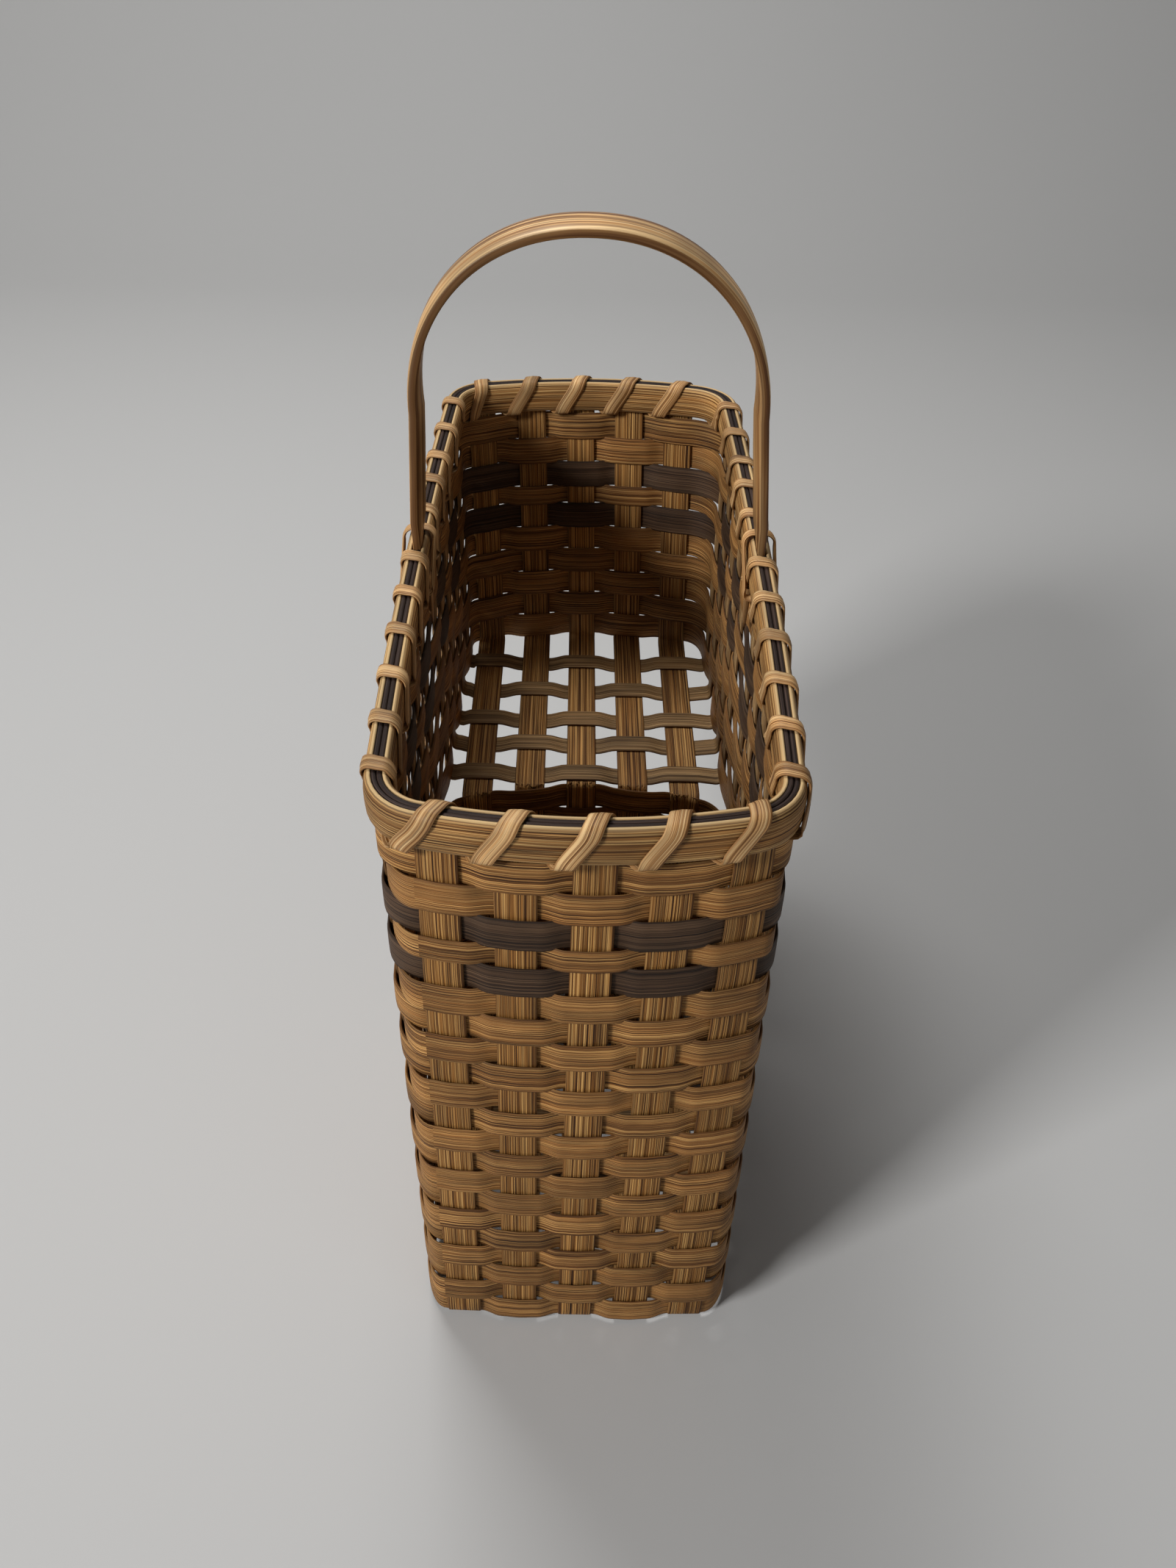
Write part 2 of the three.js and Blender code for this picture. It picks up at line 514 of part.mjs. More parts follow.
function lashing() {
  const total = 4 * quarterRun;
  const tops = upperRing.map((line) => distanceOf(line.at(RIM_UNDER_Z).p)).sort((a, b) => a - b);
  const startFrom = 2.5 * quarterRun; // on the left side of the far end
  const start = tops.findIndex((s) => s > startFrom);
  const ordered = [...tops.slice(start), ...tops.slice(0, start).map((s) => s + total)];
  const legGaps = [1, -1].map((sx) => distanceOf(placeAtY(rimPlan, HANDLE_LASH_Y, sx).p));
  const clear = CLEARANCE + LASH_EASE + LASH_THICKNESS / 2;
  const face = RIM_SLOT / 2 + HOOP_THICKNESS + clear;
  const [low, high] = [RIM_UNDER_Z - clear, RIM_TOP_Z + clear];
  const section = (s, side, z) => {
    const at = rimAt(s);
    const bow = side < 0 ? (LASH_WIDTH / 2) ** 2 / 2 / (at.radius - face) : 0;
    return {
      centre: at.p.clone().addScaledVector(at.n, side * (face + bow)).setZ(z),
      half: at.along.clone().multiplyScalar(LASH_WIDTH / 2),
    };
  };
  const gapBefore = (i) => {
    const [a, b] = [i > 0 ? ordered[i - 1] : ordered.at(-1) - total, ordered[i]];
    const leg = legGaps.flatMap((s) => [s, s + total]).find((s) => s > a && s < b);
    return leg ?? (a + b) / 2;
  };
  const sections = [];
  ordered.forEach((top, i) => {
    const gap = gapBefore(i);
    sections.push(section(gap, -1, low), section(gap, 1, low));
    if (rimAt(gap).radius < 2 * RIM_CORNER_RADIUS || rimAt(top).radius < 2 * RIM_CORNER_RADIUS)
      for (const t of [1 / 3, 2 / 3]) sections.push(section(mix(gap, top, t), 1, mix(low, high, t)));
    sections.push(section(top, 1, high), section(top, -1, high));
  });
  const endOfTurn = 0.6;
  const last = ordered.at(-1);
  sections.push(section(mix(last, gapBefore(0) + total, endOfTurn), -1, mix(high, low, endOfTurn)));
  measureLashing(sections);
  return ribbon("rim_lashing", LASHING, sections, LASH_THICKNESS);
}

// The least gap between turns of the lashing, measured on points along both edges of the strip.
function measureLashing(sections) {
  const points = [];
  const steps = 12;
  for (let i = 0; i + 1 < sections.length; i++)
    for (let t = 0; t < steps; t++)
      for (const side of [-1, 1]) {
        const [a, b] = [sections[i], sections[i + 1]];
        const centre = a.centre.clone().lerp(b.centre, t / steps);
        points.push({ i, p: centre.addScaledVector(a.half.clone().lerp(b.half, t / steps), side) });
      }
  let least = Infinity;
  const apart = 4;
  for (const a of points)
    for (const b of points)
      if (b.i - a.i > apart) least = Math.min(least, a.p.distanceTo(b.p));
  console.log("least gap between turns of the lashing: " + (least - LASH_THICKNESS).toFixed(2) + " mm");
}

// The bent handle: a tail inside the wall, a neck under the hoops, a leg between them, and the arch.
function handle() {
  const legX = placeAtY(rimPlan, HANDLE_Y, 1).p.x;
  const archX = legX - HANDLE_ARCH_INSET;
  const inside = STAKE_THICKNESS / 2 + WEAVER_THICKNESS + 4 * CLEARANCE + HANDLE_TAIL_FORM.edge / 2;
  const slotThickness = RIM_SLOT - 2 * CLEARANCE;
  const archRise = HANDLE_RISE - HANDLE_LEG_HEIGHT - HANDLE_EDGE / 2 - HANDLE_CROWN;
  // One section: a flat inner face, two square edges and a crowned outer face.
  const section = (x, y, z, out, width, edge, crown) => {
    const lean = -HANDLE_SKEW * Math.max(0, (z - RIM_TOP_Z) / (HANDLE_RISE - HOOP_HEIGHT));
    return [
      [-width / 2, -edge / 2], [width / 2, -edge / 2], [width / 2, edge / 2],
      [width / 4, edge / 2 + crown], [-width / 4, edge / 2 + crown], [-width / 2, edge / 2],
    ].map(([u, v]) => vec(x + lean, y + u, z).addScaledVector(out, v));
  };
  const leg = (sx) => {
    const out = vec(sx, 0, 0);
    const [tip, tail, neck, run] = [HANDLE_TIP, HANDLE_TAIL_FORM, HANDLE_NECK_FORM, HANDLE_LEG_RUN];
    const slotEdge = slotThickness - HANDLE_SLOT_CROWN;
    const slotX = sx * (legX - HANDLE_SLOT_CROWN / 2);
    const inSlot = (z) => section(slotX, HANDLE_Y, z, out, HANDLE_LEG_WIDTH, slotEdge, HANDLE_SLOT_CROWN);
    const [freeZ, archZ] = [RIM_TOP_Z + run.full, RIM_UNDER_Z + HANDLE_LEG_HEIGHT];
    const free = (z, width) => {
      const x = mix(legX, archX, (z - freeZ) / (archZ - freeZ));
      return section(sx * x, HANDLE_Y, z, out, width, HANDLE_EDGE, HANDLE_CROWN);
    };
    return [
      section(sx * (legX - inside - tip.inward), HANDLE_Y, RIM_UNDER_Z - HANDLE_TAIL, out,
        tip.width, tip.edge, tip.crown),
      section(sx * (legX - inside), HANDLE_Y, ROW_ONE_TOP_Z - tail.under, out,
        HANDLE_NECK_WIDTH, tail.edge, tail.crown),
      section(sx * legX, HANDLE_Y, RIM_UNDER_Z + neck.rise, out, HANDLE_NECK_WIDTH, neck.edge, neck.crown),
      inSlot(RIM_UNDER_Z + run.from),
      inSlot(RIM_TOP_Z + run.above),
      free(freeZ, HANDLE_LEG_WIDTH),
      free(RIM_UNDER_Z + run.mid, HANDLE_LEG_WIDTH + HANDLE_LEG_SPREAD),
    ];
  };
  const arch = [];
  for (let i = 0; i <= HANDLE_ARCH_STEPS; i++) {
    const turn = Math.PI * i / HANDLE_ARCH_STEPS;
    const out = vec(-Math.cos(turn) / archX, 0, Math.sin(turn) / archRise).normalize();
    const width = mix(HANDLE_LEG_WIDTH + HANDLE_LEG_SPREAD, HANDLE_TOP_WIDTH, Math.sin(turn));
    const z = RIM_UNDER_Z + HANDLE_LEG_HEIGHT + archRise * Math.sin(turn);
    arch.push(section(-archX * Math.cos(turn), HANDLE_Y, z, out, width, HANDLE_EDGE, HANDLE_CROWN));
  }
  return sweptMesh("handle", HANDLE_WOOD, [...leg(-1), ...arch, ...leg(1).toReversed()], false);
}

const basket = new THREE.Group();
for (let k = 0; k < LONG_STAKES; k++) basket.add(longStake(k));
for (let i = 0; i < crossY.length; i++) basket.add(crossStake(i));
for (let row = 1; row <= UPPER_ROWS + LOWER_ROWS; row++) basket.add(weaverRow(row));
basket.add(hoop("rim_hoop_outer", 1), hoop("rim_hoop_inner", -1));
basket.add(filler("rim_filler_near", -1), filler("rim_filler_far", 1));
basket.add(lashing(), handle());

export default basket;
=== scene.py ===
"""Looks of the splint stair basket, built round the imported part.

The reed strips are made again here as thin, bent, eased strips on the same lines as the solids.
Lengths are worked out in millimetres and turned into metres when a mesh is made.
"""

import math
import random

import bpy
import numpy as np
from mathutils import Matrix, Vector


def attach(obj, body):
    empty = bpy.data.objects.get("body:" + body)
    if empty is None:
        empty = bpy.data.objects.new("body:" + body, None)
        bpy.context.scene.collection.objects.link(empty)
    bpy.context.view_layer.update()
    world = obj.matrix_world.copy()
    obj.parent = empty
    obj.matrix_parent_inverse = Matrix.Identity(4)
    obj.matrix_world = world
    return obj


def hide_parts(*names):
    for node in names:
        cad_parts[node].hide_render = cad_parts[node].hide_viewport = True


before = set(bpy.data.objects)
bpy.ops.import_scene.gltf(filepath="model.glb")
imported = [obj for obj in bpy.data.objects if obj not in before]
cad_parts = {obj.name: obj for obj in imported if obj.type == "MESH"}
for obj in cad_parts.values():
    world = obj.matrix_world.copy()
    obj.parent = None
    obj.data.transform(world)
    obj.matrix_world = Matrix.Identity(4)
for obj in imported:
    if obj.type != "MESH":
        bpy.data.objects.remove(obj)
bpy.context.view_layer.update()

MM = 0.001

# Sizes of the reed, as in the part.
STAKE_WIDTH, STAKE_THICKNESS = 19.05, 1.6
CROSS_WIDTH, CROSS_THICKNESS = 15.9, 1.5
WEAVER_WIDTH, NARROW_WIDTH, WEAVER_THICKNESS = 16.2, 12.2, 1.3
CLEARANCE = 0.3
UPPER_ROWS, LOWER_ROWS, NARROW_ROW, DYED_ROWS = 10, 11, 4, (3, 5)
ROW_GAP = 0.7

# Plan and heights, as in the part.
LENGTH, RIM_HALF_WIDTH, FLOOR_HALF_WIDTH, UPPER_FLOOR_HALF_WIDTH = 457, 92.6, 86.7, 88.6
NEAR_Y = -LENGTH / 2
RISER_FROM_NEAR = 259
NEAR_LEAN, FAR_LEAN = 1, 18
RIM_CORNER, FLOOR_CORNER = 26, 17
RIM_END_ARC, NEAR_FLOOR_ARC, RISER_ARC, SIDE_ARC = (math.radians(a) for a in (14, 3, 22, 2))
LONG_STAKES = 5
MIDDLE_STAKE = (LONG_STAKES - 1) / 2

# Where the outermost long stakes stand, as an inset from the side and a shift to the right.
NEAR_RIM, NEAR_FLOOR, RISER = (25.1, 5), (23.3, -1), (20.7, -2.5)
FAR_FLOOR, FAR_RIM = (22.7, -4.3), (26.6, -7.5)

# Where the cross stakes lie in the floors, and where they reach the rim.
LOWER_SHARES, UPPER_SHARES = (0, 0.19, 0.39, 0.6, 0.8, 1), (0, 0.248, 0.461, 0.731, 1)
LOWER_CROSS = len(LOWER_SHARES)

# How far the first and last cross stakes of each floor stand from its ends.
FIRST_LOWER, LAST_LOWER, FIRST_UPPER, LAST_UPPER = 36, 44, 11.2, 39.5


def shared(start, end, shares):
    return [NEAR_Y + start + (end - start) * share for share in shares]


UPPER_START = RISER_FROM_NEAR + FIRST_UPPER
LOWER_CROSS_Y = shared(FIRST_LOWER, RISER_FROM_NEAR - LAST_LOWER, LOWER_SHARES)
CROSS_Y = LOWER_CROSS_Y + shared(UPPER_START, LENGTH - FAR_LEAN - LAST_UPPER, UPPER_SHARES)
CROSS_RIM_Y = LOWER_CROSS_Y + shared(UPPER_START, LENGTH - LAST_UPPER, UPPER_SHARES)
FLOOR_Z = CROSS_THICKNESS + CLEARANCE + STAKE_THICKNESS / 2
ROW_PITCH = WEAVER_WIDTH + ROW_GAP
OVER_FOLD = STAKE_THICKNESS / 2 + CLEARANCE + 0.1
LOWEST_ROW_Z = FLOOR_Z + OVER_FOLD
UPPER_FLOOR_Z = LOWEST_ROW_Z + LOWER_ROWS * ROW_PITCH - ROW_GAP + OVER_FOLD
NARROWER = WEAVER_WIDTH - NARROW_WIDTH
ROW_ONE_TOP_Z = UPPER_FLOOR_Z + OVER_FOLD + UPPER_ROWS * ROW_PITCH - ROW_GAP - NARROWER
RIM_OVER_ROWS = 3.2
RIM_UNDER_Z = ROW_ONE_TOP_Z + RIM_OVER_ROWS
HOOP_HEIGHT, HOOP_THICKNESS, RIM_SLOT = 20, 3.6, 5.2
RIM_TOP_Z = RIM_UNDER_Z + HOOP_HEIGHT
FILLER_HEIGHT = 3.8
FILLER_UNDER_Z = RIM_TOP_Z - FILLER_HEIGHT
STAKE_TOP_Z = FILLER_UNDER_Z - CLEARANCE
LASH_WIDTH, LASH_THICKNESS = 8, 1.2
LEG_WIDTH, NECK_WIDTH = 17.6, 13

# The handle stands behind the last lower cross stake, and one turn of lashing passes behind its neck.
LEG_CLEAR, NECK_CLEAR, LASH_ROOM = 1.2, 0.6, 0.8
HANDLE_Y = CROSS_Y[LOWER_CROSS - 1] + CROSS_WIDTH / 2 + LEG_CLEAR + LEG_WIDTH / 2
NECK_LASH_Y = HANDLE_Y + NECK_WIDTH / 2 + NECK_CLEAR + LASH_ROOM + LASH_WIDTH / 2

# How far the strips bend where they cross. Stake and weaver share the bend, so both sides wave.
# Each weaver also bows out over a stake, by a share of its bend.
WEAVER_WAVE = 1.65
STAKE_WAVE = 0.36
FLOOR_WAVE = 1.5
FLOOR_STAKE_WAVE = 0.2
FOLD_RADIUS = 4.5
END_BOW, SIDE_BOW = 0.35, 0.12


def unit(v):
    return v / np.linalg.norm(v)


def smooth(t):
    return t * t * (3 - 2 * t)


HALVINGS = 40


class Plan:
    """A closed plan of tangent arcs. A place on a quarter is given by its heading from the end's middle."""

    def __init__(self, near, far, half_width, corner, end_arc):
        self.half_length, self.centre_y, self.corner = (far - near) / 2, (far + near) / 2, corner
        self.end_arc = end_arc
        a, b = math.sin(end_arc), 1 - math.cos(SIDE_ARC)
        c, d = 1 - math.cos(end_arc), math.sin(SIDE_ARC)
        want_x = half_width - corner * (math.cos(SIDE_ARC) - math.sin(end_arc))
        want_y = self.half_length - corner * (math.cos(end_arc) - math.sin(SIDE_ARC))
        self.end = (want_x * d - b * want_y) / (a * d - b * c)
        self.side = (a * want_y - c * want_x) / (a * d - b * c)

    def at(self, heading, sx, sy):
        first, last = self.end_arc, math.pi / 2 - SIDE_ARC
        h1, h2, h3 = min(heading, first), min(max(heading, first), last), max(heading, last)
        x = (self.end * math.sin(h1) + self.corner * (math.sin(h2) - math.sin(first))
             + self.side * (math.sin(h3) - math.sin(last)))
        y = (self.end * (1 - math.cos(h1)) + self.corner * (math.cos(first) - math.cos(h2))
             + self.side * (math.cos(last) - math.cos(h3)))
        place = np.array([sx * x, self.centre_y + sy * (self.half_length - y), 0.0])
        return place, np.array([sx * math.sin(heading), sy * math.cos(heading), 0.0])

    def heading(self, axis, wanted):
        """The heading at which a quarter reaches a distance along one axis, by halving."""
        low, high = 0.0, math.pi / 2
        for _ in range(HALVINGS):
            mid = (low + high) / 2
            place, _ = self.at(mid, 1, -1)
            reached = place[0] if axis == "x" else place[1] - (self.centre_y - self.half_length)
            low, high = (mid, high) if reached < wanted else (low, mid)
        return (low + high) / 2

    def at_x(self, x, sy):
        return self.at(self.heading("x", abs(x)), -1 if x < 0 else 1, sy)

    def at_y(self, y, sx):
        sy = -1 if y < self.centre_y else 1
        return self.at(self.heading("y", self.half_length - abs(y - self.centre_y)), sx, sy)


LOWER_ENDS = (NEAR_Y + NEAR_LEAN, NEAR_Y + RISER_FROM_NEAR)
RIM = Plan(NEAR_Y, NEAR_Y + LENGTH, RIM_HALF_WIDTH, RIM_CORNER, RIM_END_ARC)
LOWER = Plan(*LOWER_ENDS, FLOOR_HALF_WIDTH, FLOOR_CORNER, NEAR_FLOOR_ARC)
STEP = Plan(*LOWER_ENDS, FLOOR_HALF_WIDTH, FLOOR_CORNER, RISER_ARC)
UPPER = Plan(NEAR_Y, NEAR_Y + LENGTH - FAR_LEAN, UPPER_FLOOR_HALF_WIDTH, RIM_CORNER, RIM_END_ARC)


class Line:
    """One stake's line up a wall, from its fold to the rim."""

    def __init__(self, low, low_z, high, high_z, width, thickness, parity):
        self.low, self.low_z, self.high, self.high_z = low, low_z, high, high_z
        self.width, self.thickness, self.parity = width, thickness, parity

    def at(self, z):
        t = min(1, (z - self.low_z) / (self.high_z - self.low_z))
        n = unit(self.low[1] * (1 - t) + self.high[1] * t)
        p = self.low[0] * (1 - t) + self.high[0] * t
        p[2] = z
        return p, n, np.array([-n[1], n[0], 0.0])


# A stake's parity is 1 where row 1 passes outside it and -1 where it passes inside.
def long_parity(k):
    return -1 if k % 2 == 0 else 1


def cross_parity(i):
    return 1 if i % 2 == 0 else -1


def long_line(k, low, low_z, high, high_z, sign):
    return Line(low, low_z, high, high_z, STAKE_WIDTH, STAKE_THICKNESS, sign * long_parity(k))


def long_place(plan, k, sy, half_width, reach):
    inset, shift = reach
    return plan.at_x((k - MIDDLE_STAKE) / MIDDLE_STAKE * (half_width - inset) + shift, sy)


near_lines, riser_lines, far_lines = [], [], []
for k in range(LONG_STAKES):
    near_lines.append(long_line(k, long_place(LOWER, k, -1, FLOOR_HALF_WIDTH, NEAR_FLOOR), FLOOR_Z,
                                long_place(RIM, k, -1, RIM_HALF_WIDTH, NEAR_RIM), RIM_UNDER_Z, 1))
    riser = long_place(STEP, k, 1, FLOOR_HALF_WIDTH, RISER)
    riser_lines.append(long_line(k, riser, FLOOR_Z, riser, UPPER_FLOOR_Z, -1))
    far_lines.append(long_line(k, long_place(UPPER, k, 1, UPPER_FLOOR_HALF_WIDTH, FAR_FLOOR), UPPER_FLOOR_Z,
                               long_place(RIM, k, 1, RIM_HALF_WIDTH, FAR_RIM), RIM_UNDER_Z, 1))


def side_lines(sx):
    lines = []
    for i, y in enumerate(CROSS_Y):
        plan, z = (LOWER, FLOOR_Z) if i < LOWER_CROSS else (UPPER, UPPER_FLOOR_Z)
        lines.append(Line(plan.at_y(y, sx), z, RIM.at_y(CROSS_RIM_Y[i], sx), RIM_UNDER_Z,
                          CROSS_WIDTH, CROSS_THICKNESS, cross_parity(i)))
    return lines


right_lines, left_lines = side_lines(1), side_lines(-1)
upper_ring = near_lines + right_lines + far_lines[::-1] + left_lines[::-1]
lower_ring = near_lines + right_lines[:LOWER_CROSS] + riser_lines[::-1] + left_lines[:LOWER_CROSS][::-1]


def row_base(row):
    if row > UPPER_ROWS:
        return LOWEST_ROW_Z + (UPPER_ROWS + LOWER_ROWS - row) * ROW_PITCH
    base = UPPER_FLOOR_Z + OVER_FOLD + (UPPER_ROWS - row) * ROW_PITCH
    return base - (NARROWER if row < NARROW_ROW else 0)


def row_width(row):
    return NARROW_WIDTH if row == NARROW_ROW else WEAVER_WIDTH


def row_middle(row):
    return row_base(row) + row_width(row) / 2


def row_sign(row):
    return 1 if row % 2 == 1 else -1


# Meshes.
pieces = []
MM_PER_UV = 10


def add_mesh(name, verts, faces, uvs, edge, material, slot, node):
    """One piece: verts in mm, a uv (mm) per face corner and an edge value (0 to 1) per vertex, the share of
    the edge colour it takes: painted shade on most strips and the handle, the paler cut edge on the hoops.
    """
    mesh = bpy.data.meshes.new(name)
    mesh.from_pydata((np.asarray(verts) * MM).tolist(), [], faces)
    layer = mesh.uv_layers.new(name="UVMap")
    layer.data.foreach_set("uv", np.asarray(uvs, float).ravel() / MM_PER_UV)
    attribute = mesh.attributes.new("edge", "FLOAT", "POINT")
    attribute.data.foreach_set("value", np.asarray(edge, float))
    mesh.polygons.foreach_set("use_smooth", [True] * len(mesh.polygons))
    mesh.materials.append(material)
    obj = bpy.data.objects.new(name, mesh)
    bpy.context.scene.collection.objects.link(obj)
    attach(obj, "root")
    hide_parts(node)
    pieces.append(obj)


def sweep(rings, closed, edge_of_profile):
    """Rings of points joined side by side: verts, faces, uvs and edge values."""
    rings = np.asarray(rings, float)
    count, m = rings.shape[:2]
    verts = rings.reshape(-1, 3)
    centres = rings.mean(1)
    spans = count if closed else count - 1
    steps = np.linalg.norm(np.roll(centres, -1, 0) - centres, axis=1)
    u = np.concatenate([[0], np.cumsum(steps)])
    around = np.linalg.norm(np.roll(rings[0], -1, 0) - rings[0], axis=1)
    v = np.concatenate([[0], np.cumsum(around)])
    faces, uvs = [], []
    for i in range(spans):
        a, b = i * m, ((i + 1) % count) * m
        for j in range(m):
            k = (j + 1) % m
            faces.append((a + j, b + j, b + k, a + k))
            uvs += [(u[i], v[j]), (u[i + 1], v[j]), (u[i + 1], v[j + 1]), (u[i], v[j + 1])]
    if not closed:
        last = (count - 1) * m
        faces.append(tuple(range(m)))
        uvs += [(u[0], v[j]) for j in range(m)]
        faces.append(tuple(last + j for j in reversed(range(m))))
        uvs += [(u[count - 1], v[j]) for j in reversed(range(m))]
    edge = np.tile(np.asarray(edge_of_profile, float), count)
    return verts, faces, uvs, edge


# The edge of a reed's section: how far in each point lies, and its share of the half thickness.
EASED_EDGE = ((0, 0.25), (0.35, 0.8), (1.0, 1.0))
CROWN_INSET = 2.4


def reed_profile(width, thickness, crown=0.12):
    """The section of flat reed: eased edges, a flat back and a slightly crowned face."""
    a, t = width / 2, thickness / 2
    eased = [(a - inset, share * t) for inset, share in EASED_EDGE]
    face = eased + [(a - CROWN_INSET, t + crown * 0.5)]
    outer = face + [(0, t + crown)] + [(-x, y) for x, y in reversed(face)]
    inner = [(-x, -y) for x, y in eased] + [(0, -t)] + [(x, -y) for x, y in reversed(eased)]
    # How much of the darker edge colour each point takes, most at the eased edges: painted shade.
    edge = [1, 1, 0.35, 0, 0, 0, 0.35, 1, 1, 1, 1, 0.35, 0, 0.35, 1, 1]
    return outer + inner, edge


def strip_rings(centres, across, profile, closed, widths=None, flip=1):
    """Rings of a strip along centres. across is the unit width direction at each of them."""
    centres, across = np.asarray(centres, float), np.asarray(across, float)
    if closed:
        tangent = np.roll(centres, -1, 0) - np.roll(centres, 1, 0)
    else:
        tangent = np.gradient(centres, axis=0)
    normal = np.cross(tangent, across) * flip
    normal /= np.linalg.norm(normal, axis=1)[:, None]
    points = np.array(profile)
    if widths is None:
        widths = np.ones(len(centres))
    return np.array([c + a * (points[:, :1] * w) + n * points[:, 1:]
                     for c, a, n, w in zip(centres, across, normal, widths)])


def noise_wave(rng, length, period, size):
    """A smooth closed random function of distance, for the small unevenness of hand work."""
    most = max(1, int(length / period))
    terms = [(rng.randint(1, most), rng.uniform(0, 2 * math.pi), rng.uniform(0.4, 1)) for _ in range(5)]
    total = sum(t[2] for t in terms)
    return lambda s: size * sum(a * math.sin(2 * math.pi * n * s / length + p) for n, p, a in terms) / total


# Materials.
def node_material(name):
    material = bpy.data.materials.new(name)
    material.use_nodes = True
    nodes, links = material.node_tree.nodes, material.node_tree.links
    return material, nodes, links, nodes["Principled BSDF"]


GRAIN_SHIFT = 37.0
OBJECT_TONE = (0.84, 1.12)
BUMP_DISTANCE = 0.0004
SPECULAR = 0.22


def reed_material(name, dark, mid, light, roughness=0.62, streak=0.5, bump=0.55, edge_colour=None,
                  edge_mix=0.5, fibre=25.0, blotch=0.36):
    """Split reed: fibres and darker streaks along the strip, and a colour mixed in at its edges: the paler
    cut edge on the hoops, and on the other strips and the handle a darker edge that is painted shade.
    """
    material, nodes, links, shader = node_material(name)

    def feed(socket, value):
        if isinstance(value, (int, float)):
            socket.default_value = value
        elif isinstance(value, tuple):
            socket.default_value = (*value, 1.0)
        else:
            links.new(value, socket)

    def maths(operation, first, second):
        node = nodes.new("ShaderNodeMath")
        node.operation = operation
        feed(node.inputs[0], first)
        feed(node.inputs[1], second)
        return node.outputs[0]

    def ranged(source, to_min, to_max, from_min=0.0, from_max=1.0):
        node = nodes.new("ShaderNodeMapRange")
        limits = {"From Min": from_min, "From Max": from_max, "To Min": to_min, "To Max": to_max}
        for socket, value in limits.items():
            node.inputs[socket].default_value = value
        links.new(source, node.inputs["Value"])
        return node.outputs[0]

    def ramp(source, first, last, *between):
        """Colours at places from 0 to 1; each stop is a place and a colour."""
        node = nodes.new("ShaderNodeValToRGB")
        elements = node.color_ramp.elements
        for element, (place, colour) in zip((elements[0], elements[1]), (first, last)):
            element.position = place
            element.color = (*colour, 1.0)
        for place, colour in between:
            elements.new(place).color = (*colour, 1.0)
        links.new(source, node.inputs["Fac"])
        return node.outputs["Color"]

    def mix(kind, a, b, factor):
        node = nodes.new("ShaderNodeMix")
        node.data_type = "RGBA"
        node.blend_type = kind
        for socket, value in ((node.inputs[6], a), (node.inputs[7], b), (node.inputs[0], factor)):
            feed(socket, value)
        return node.outputs[2]

    uv = nodes.new("ShaderNodeUVMap")
    uv.uv_map = "UVMap"
    info = nodes.new("ShaderNodeObjectInfo")
    moved = nodes.new("ShaderNodeVectorMath")
    moved.operation = "ADD"
    links.new(uv.outputs["UV"], moved.inputs[0])
    links.new(maths("MULTIPLY", info.outputs["Random"], GRAIN_SHIFT), moved.inputs[1])

    def grain(scale_u, scale_v, detail):
        mapping = nodes.new("ShaderNodeMapping")
        mapping.inputs["Scale"].default_value = (scale_u, scale_v, 1.0)
        links.new(moved.outputs[0], mapping.inputs["Vector"])
        noise = nodes.new("ShaderNodeTexNoise")
        noise.inputs["Scale"].default_value = 1.0
        noise.inputs["Detail"].default_value = detail
        noise.inputs["Roughness"].default_value = 0.6
        links.new(mapping.outputs[0], noise.inputs["Vector"])
        return noise.outputs["Fac"]

    fine = grain(0.1, fibre * 2.0, 2.0)
    streaks = grain(0.05, fibre * 0.75, 3.0)
    blotches = grain(0.18, 0.5, 2.0)

    broad = ramp(streaks, (0.36, dark), (0.63, light), (0.47, mid))
    deep = tuple(c * 0.55 for c in dark)
    thin = ramp(fine, (0.38, deep), (0.56, (1.0, 1.0, 1.0)))
    colour = mix("MULTIPLY", broad, thin, streak)
    tone = ranged(blotches, 1.0 - blotch, 1.0 + blotch, 0.3, 0.7)
    bright = nodes.new("ShaderNodeVectorMath")
    bright.operation = "SCALE"
    links.new(colour, bright.inputs[0])
    links.new(maths("MULTIPLY", tone, ranged(info.outputs["Random"], *OBJECT_TONE)), bright.inputs["Scale"])
    colour = bright.outputs[0]
    # Mix in the edge colour by the edge mask: the paler cut edge on the hoops, and on the other strips and
    # the handle a darker edge that is painted shade.
    if edge_colour:
        attribute = nodes.new("ShaderNodeAttribute")
        attribute.attribute_name = "edge"
        colour = mix("MIX", colour, edge_colour, maths("MULTIPLY", attribute.outputs["Fac"], edge_mix))
    links.new(colour, shader.inputs["Base Color"])
    links.new(ranged(fine, roughness - 0.1, roughness + 0.12), shader.inputs["Roughness"])
    bumps = nodes.new("ShaderNodeBump")
    bumps.inputs["Strength"].default_value = bump
    bumps.inputs["Distance"].default_value = BUMP_DISTANCE
    links.new(maths("ADD", fine, streaks), bumps.inputs["Height"])
    links.new(bumps.outputs[0], shader.inputs["Normal"])
    shader.inputs["Specular IOR Level"].default_value = SPECULAR
    return material


def srgb(value):
    channels = [int(value[i:i + 2], 16) / 255 for i in (0, 2, 4)]
    return tuple(c / 12.92 if c <= 0.04045 else ((c + 0.055) / 1.055) ** 2.4 for c in channels)


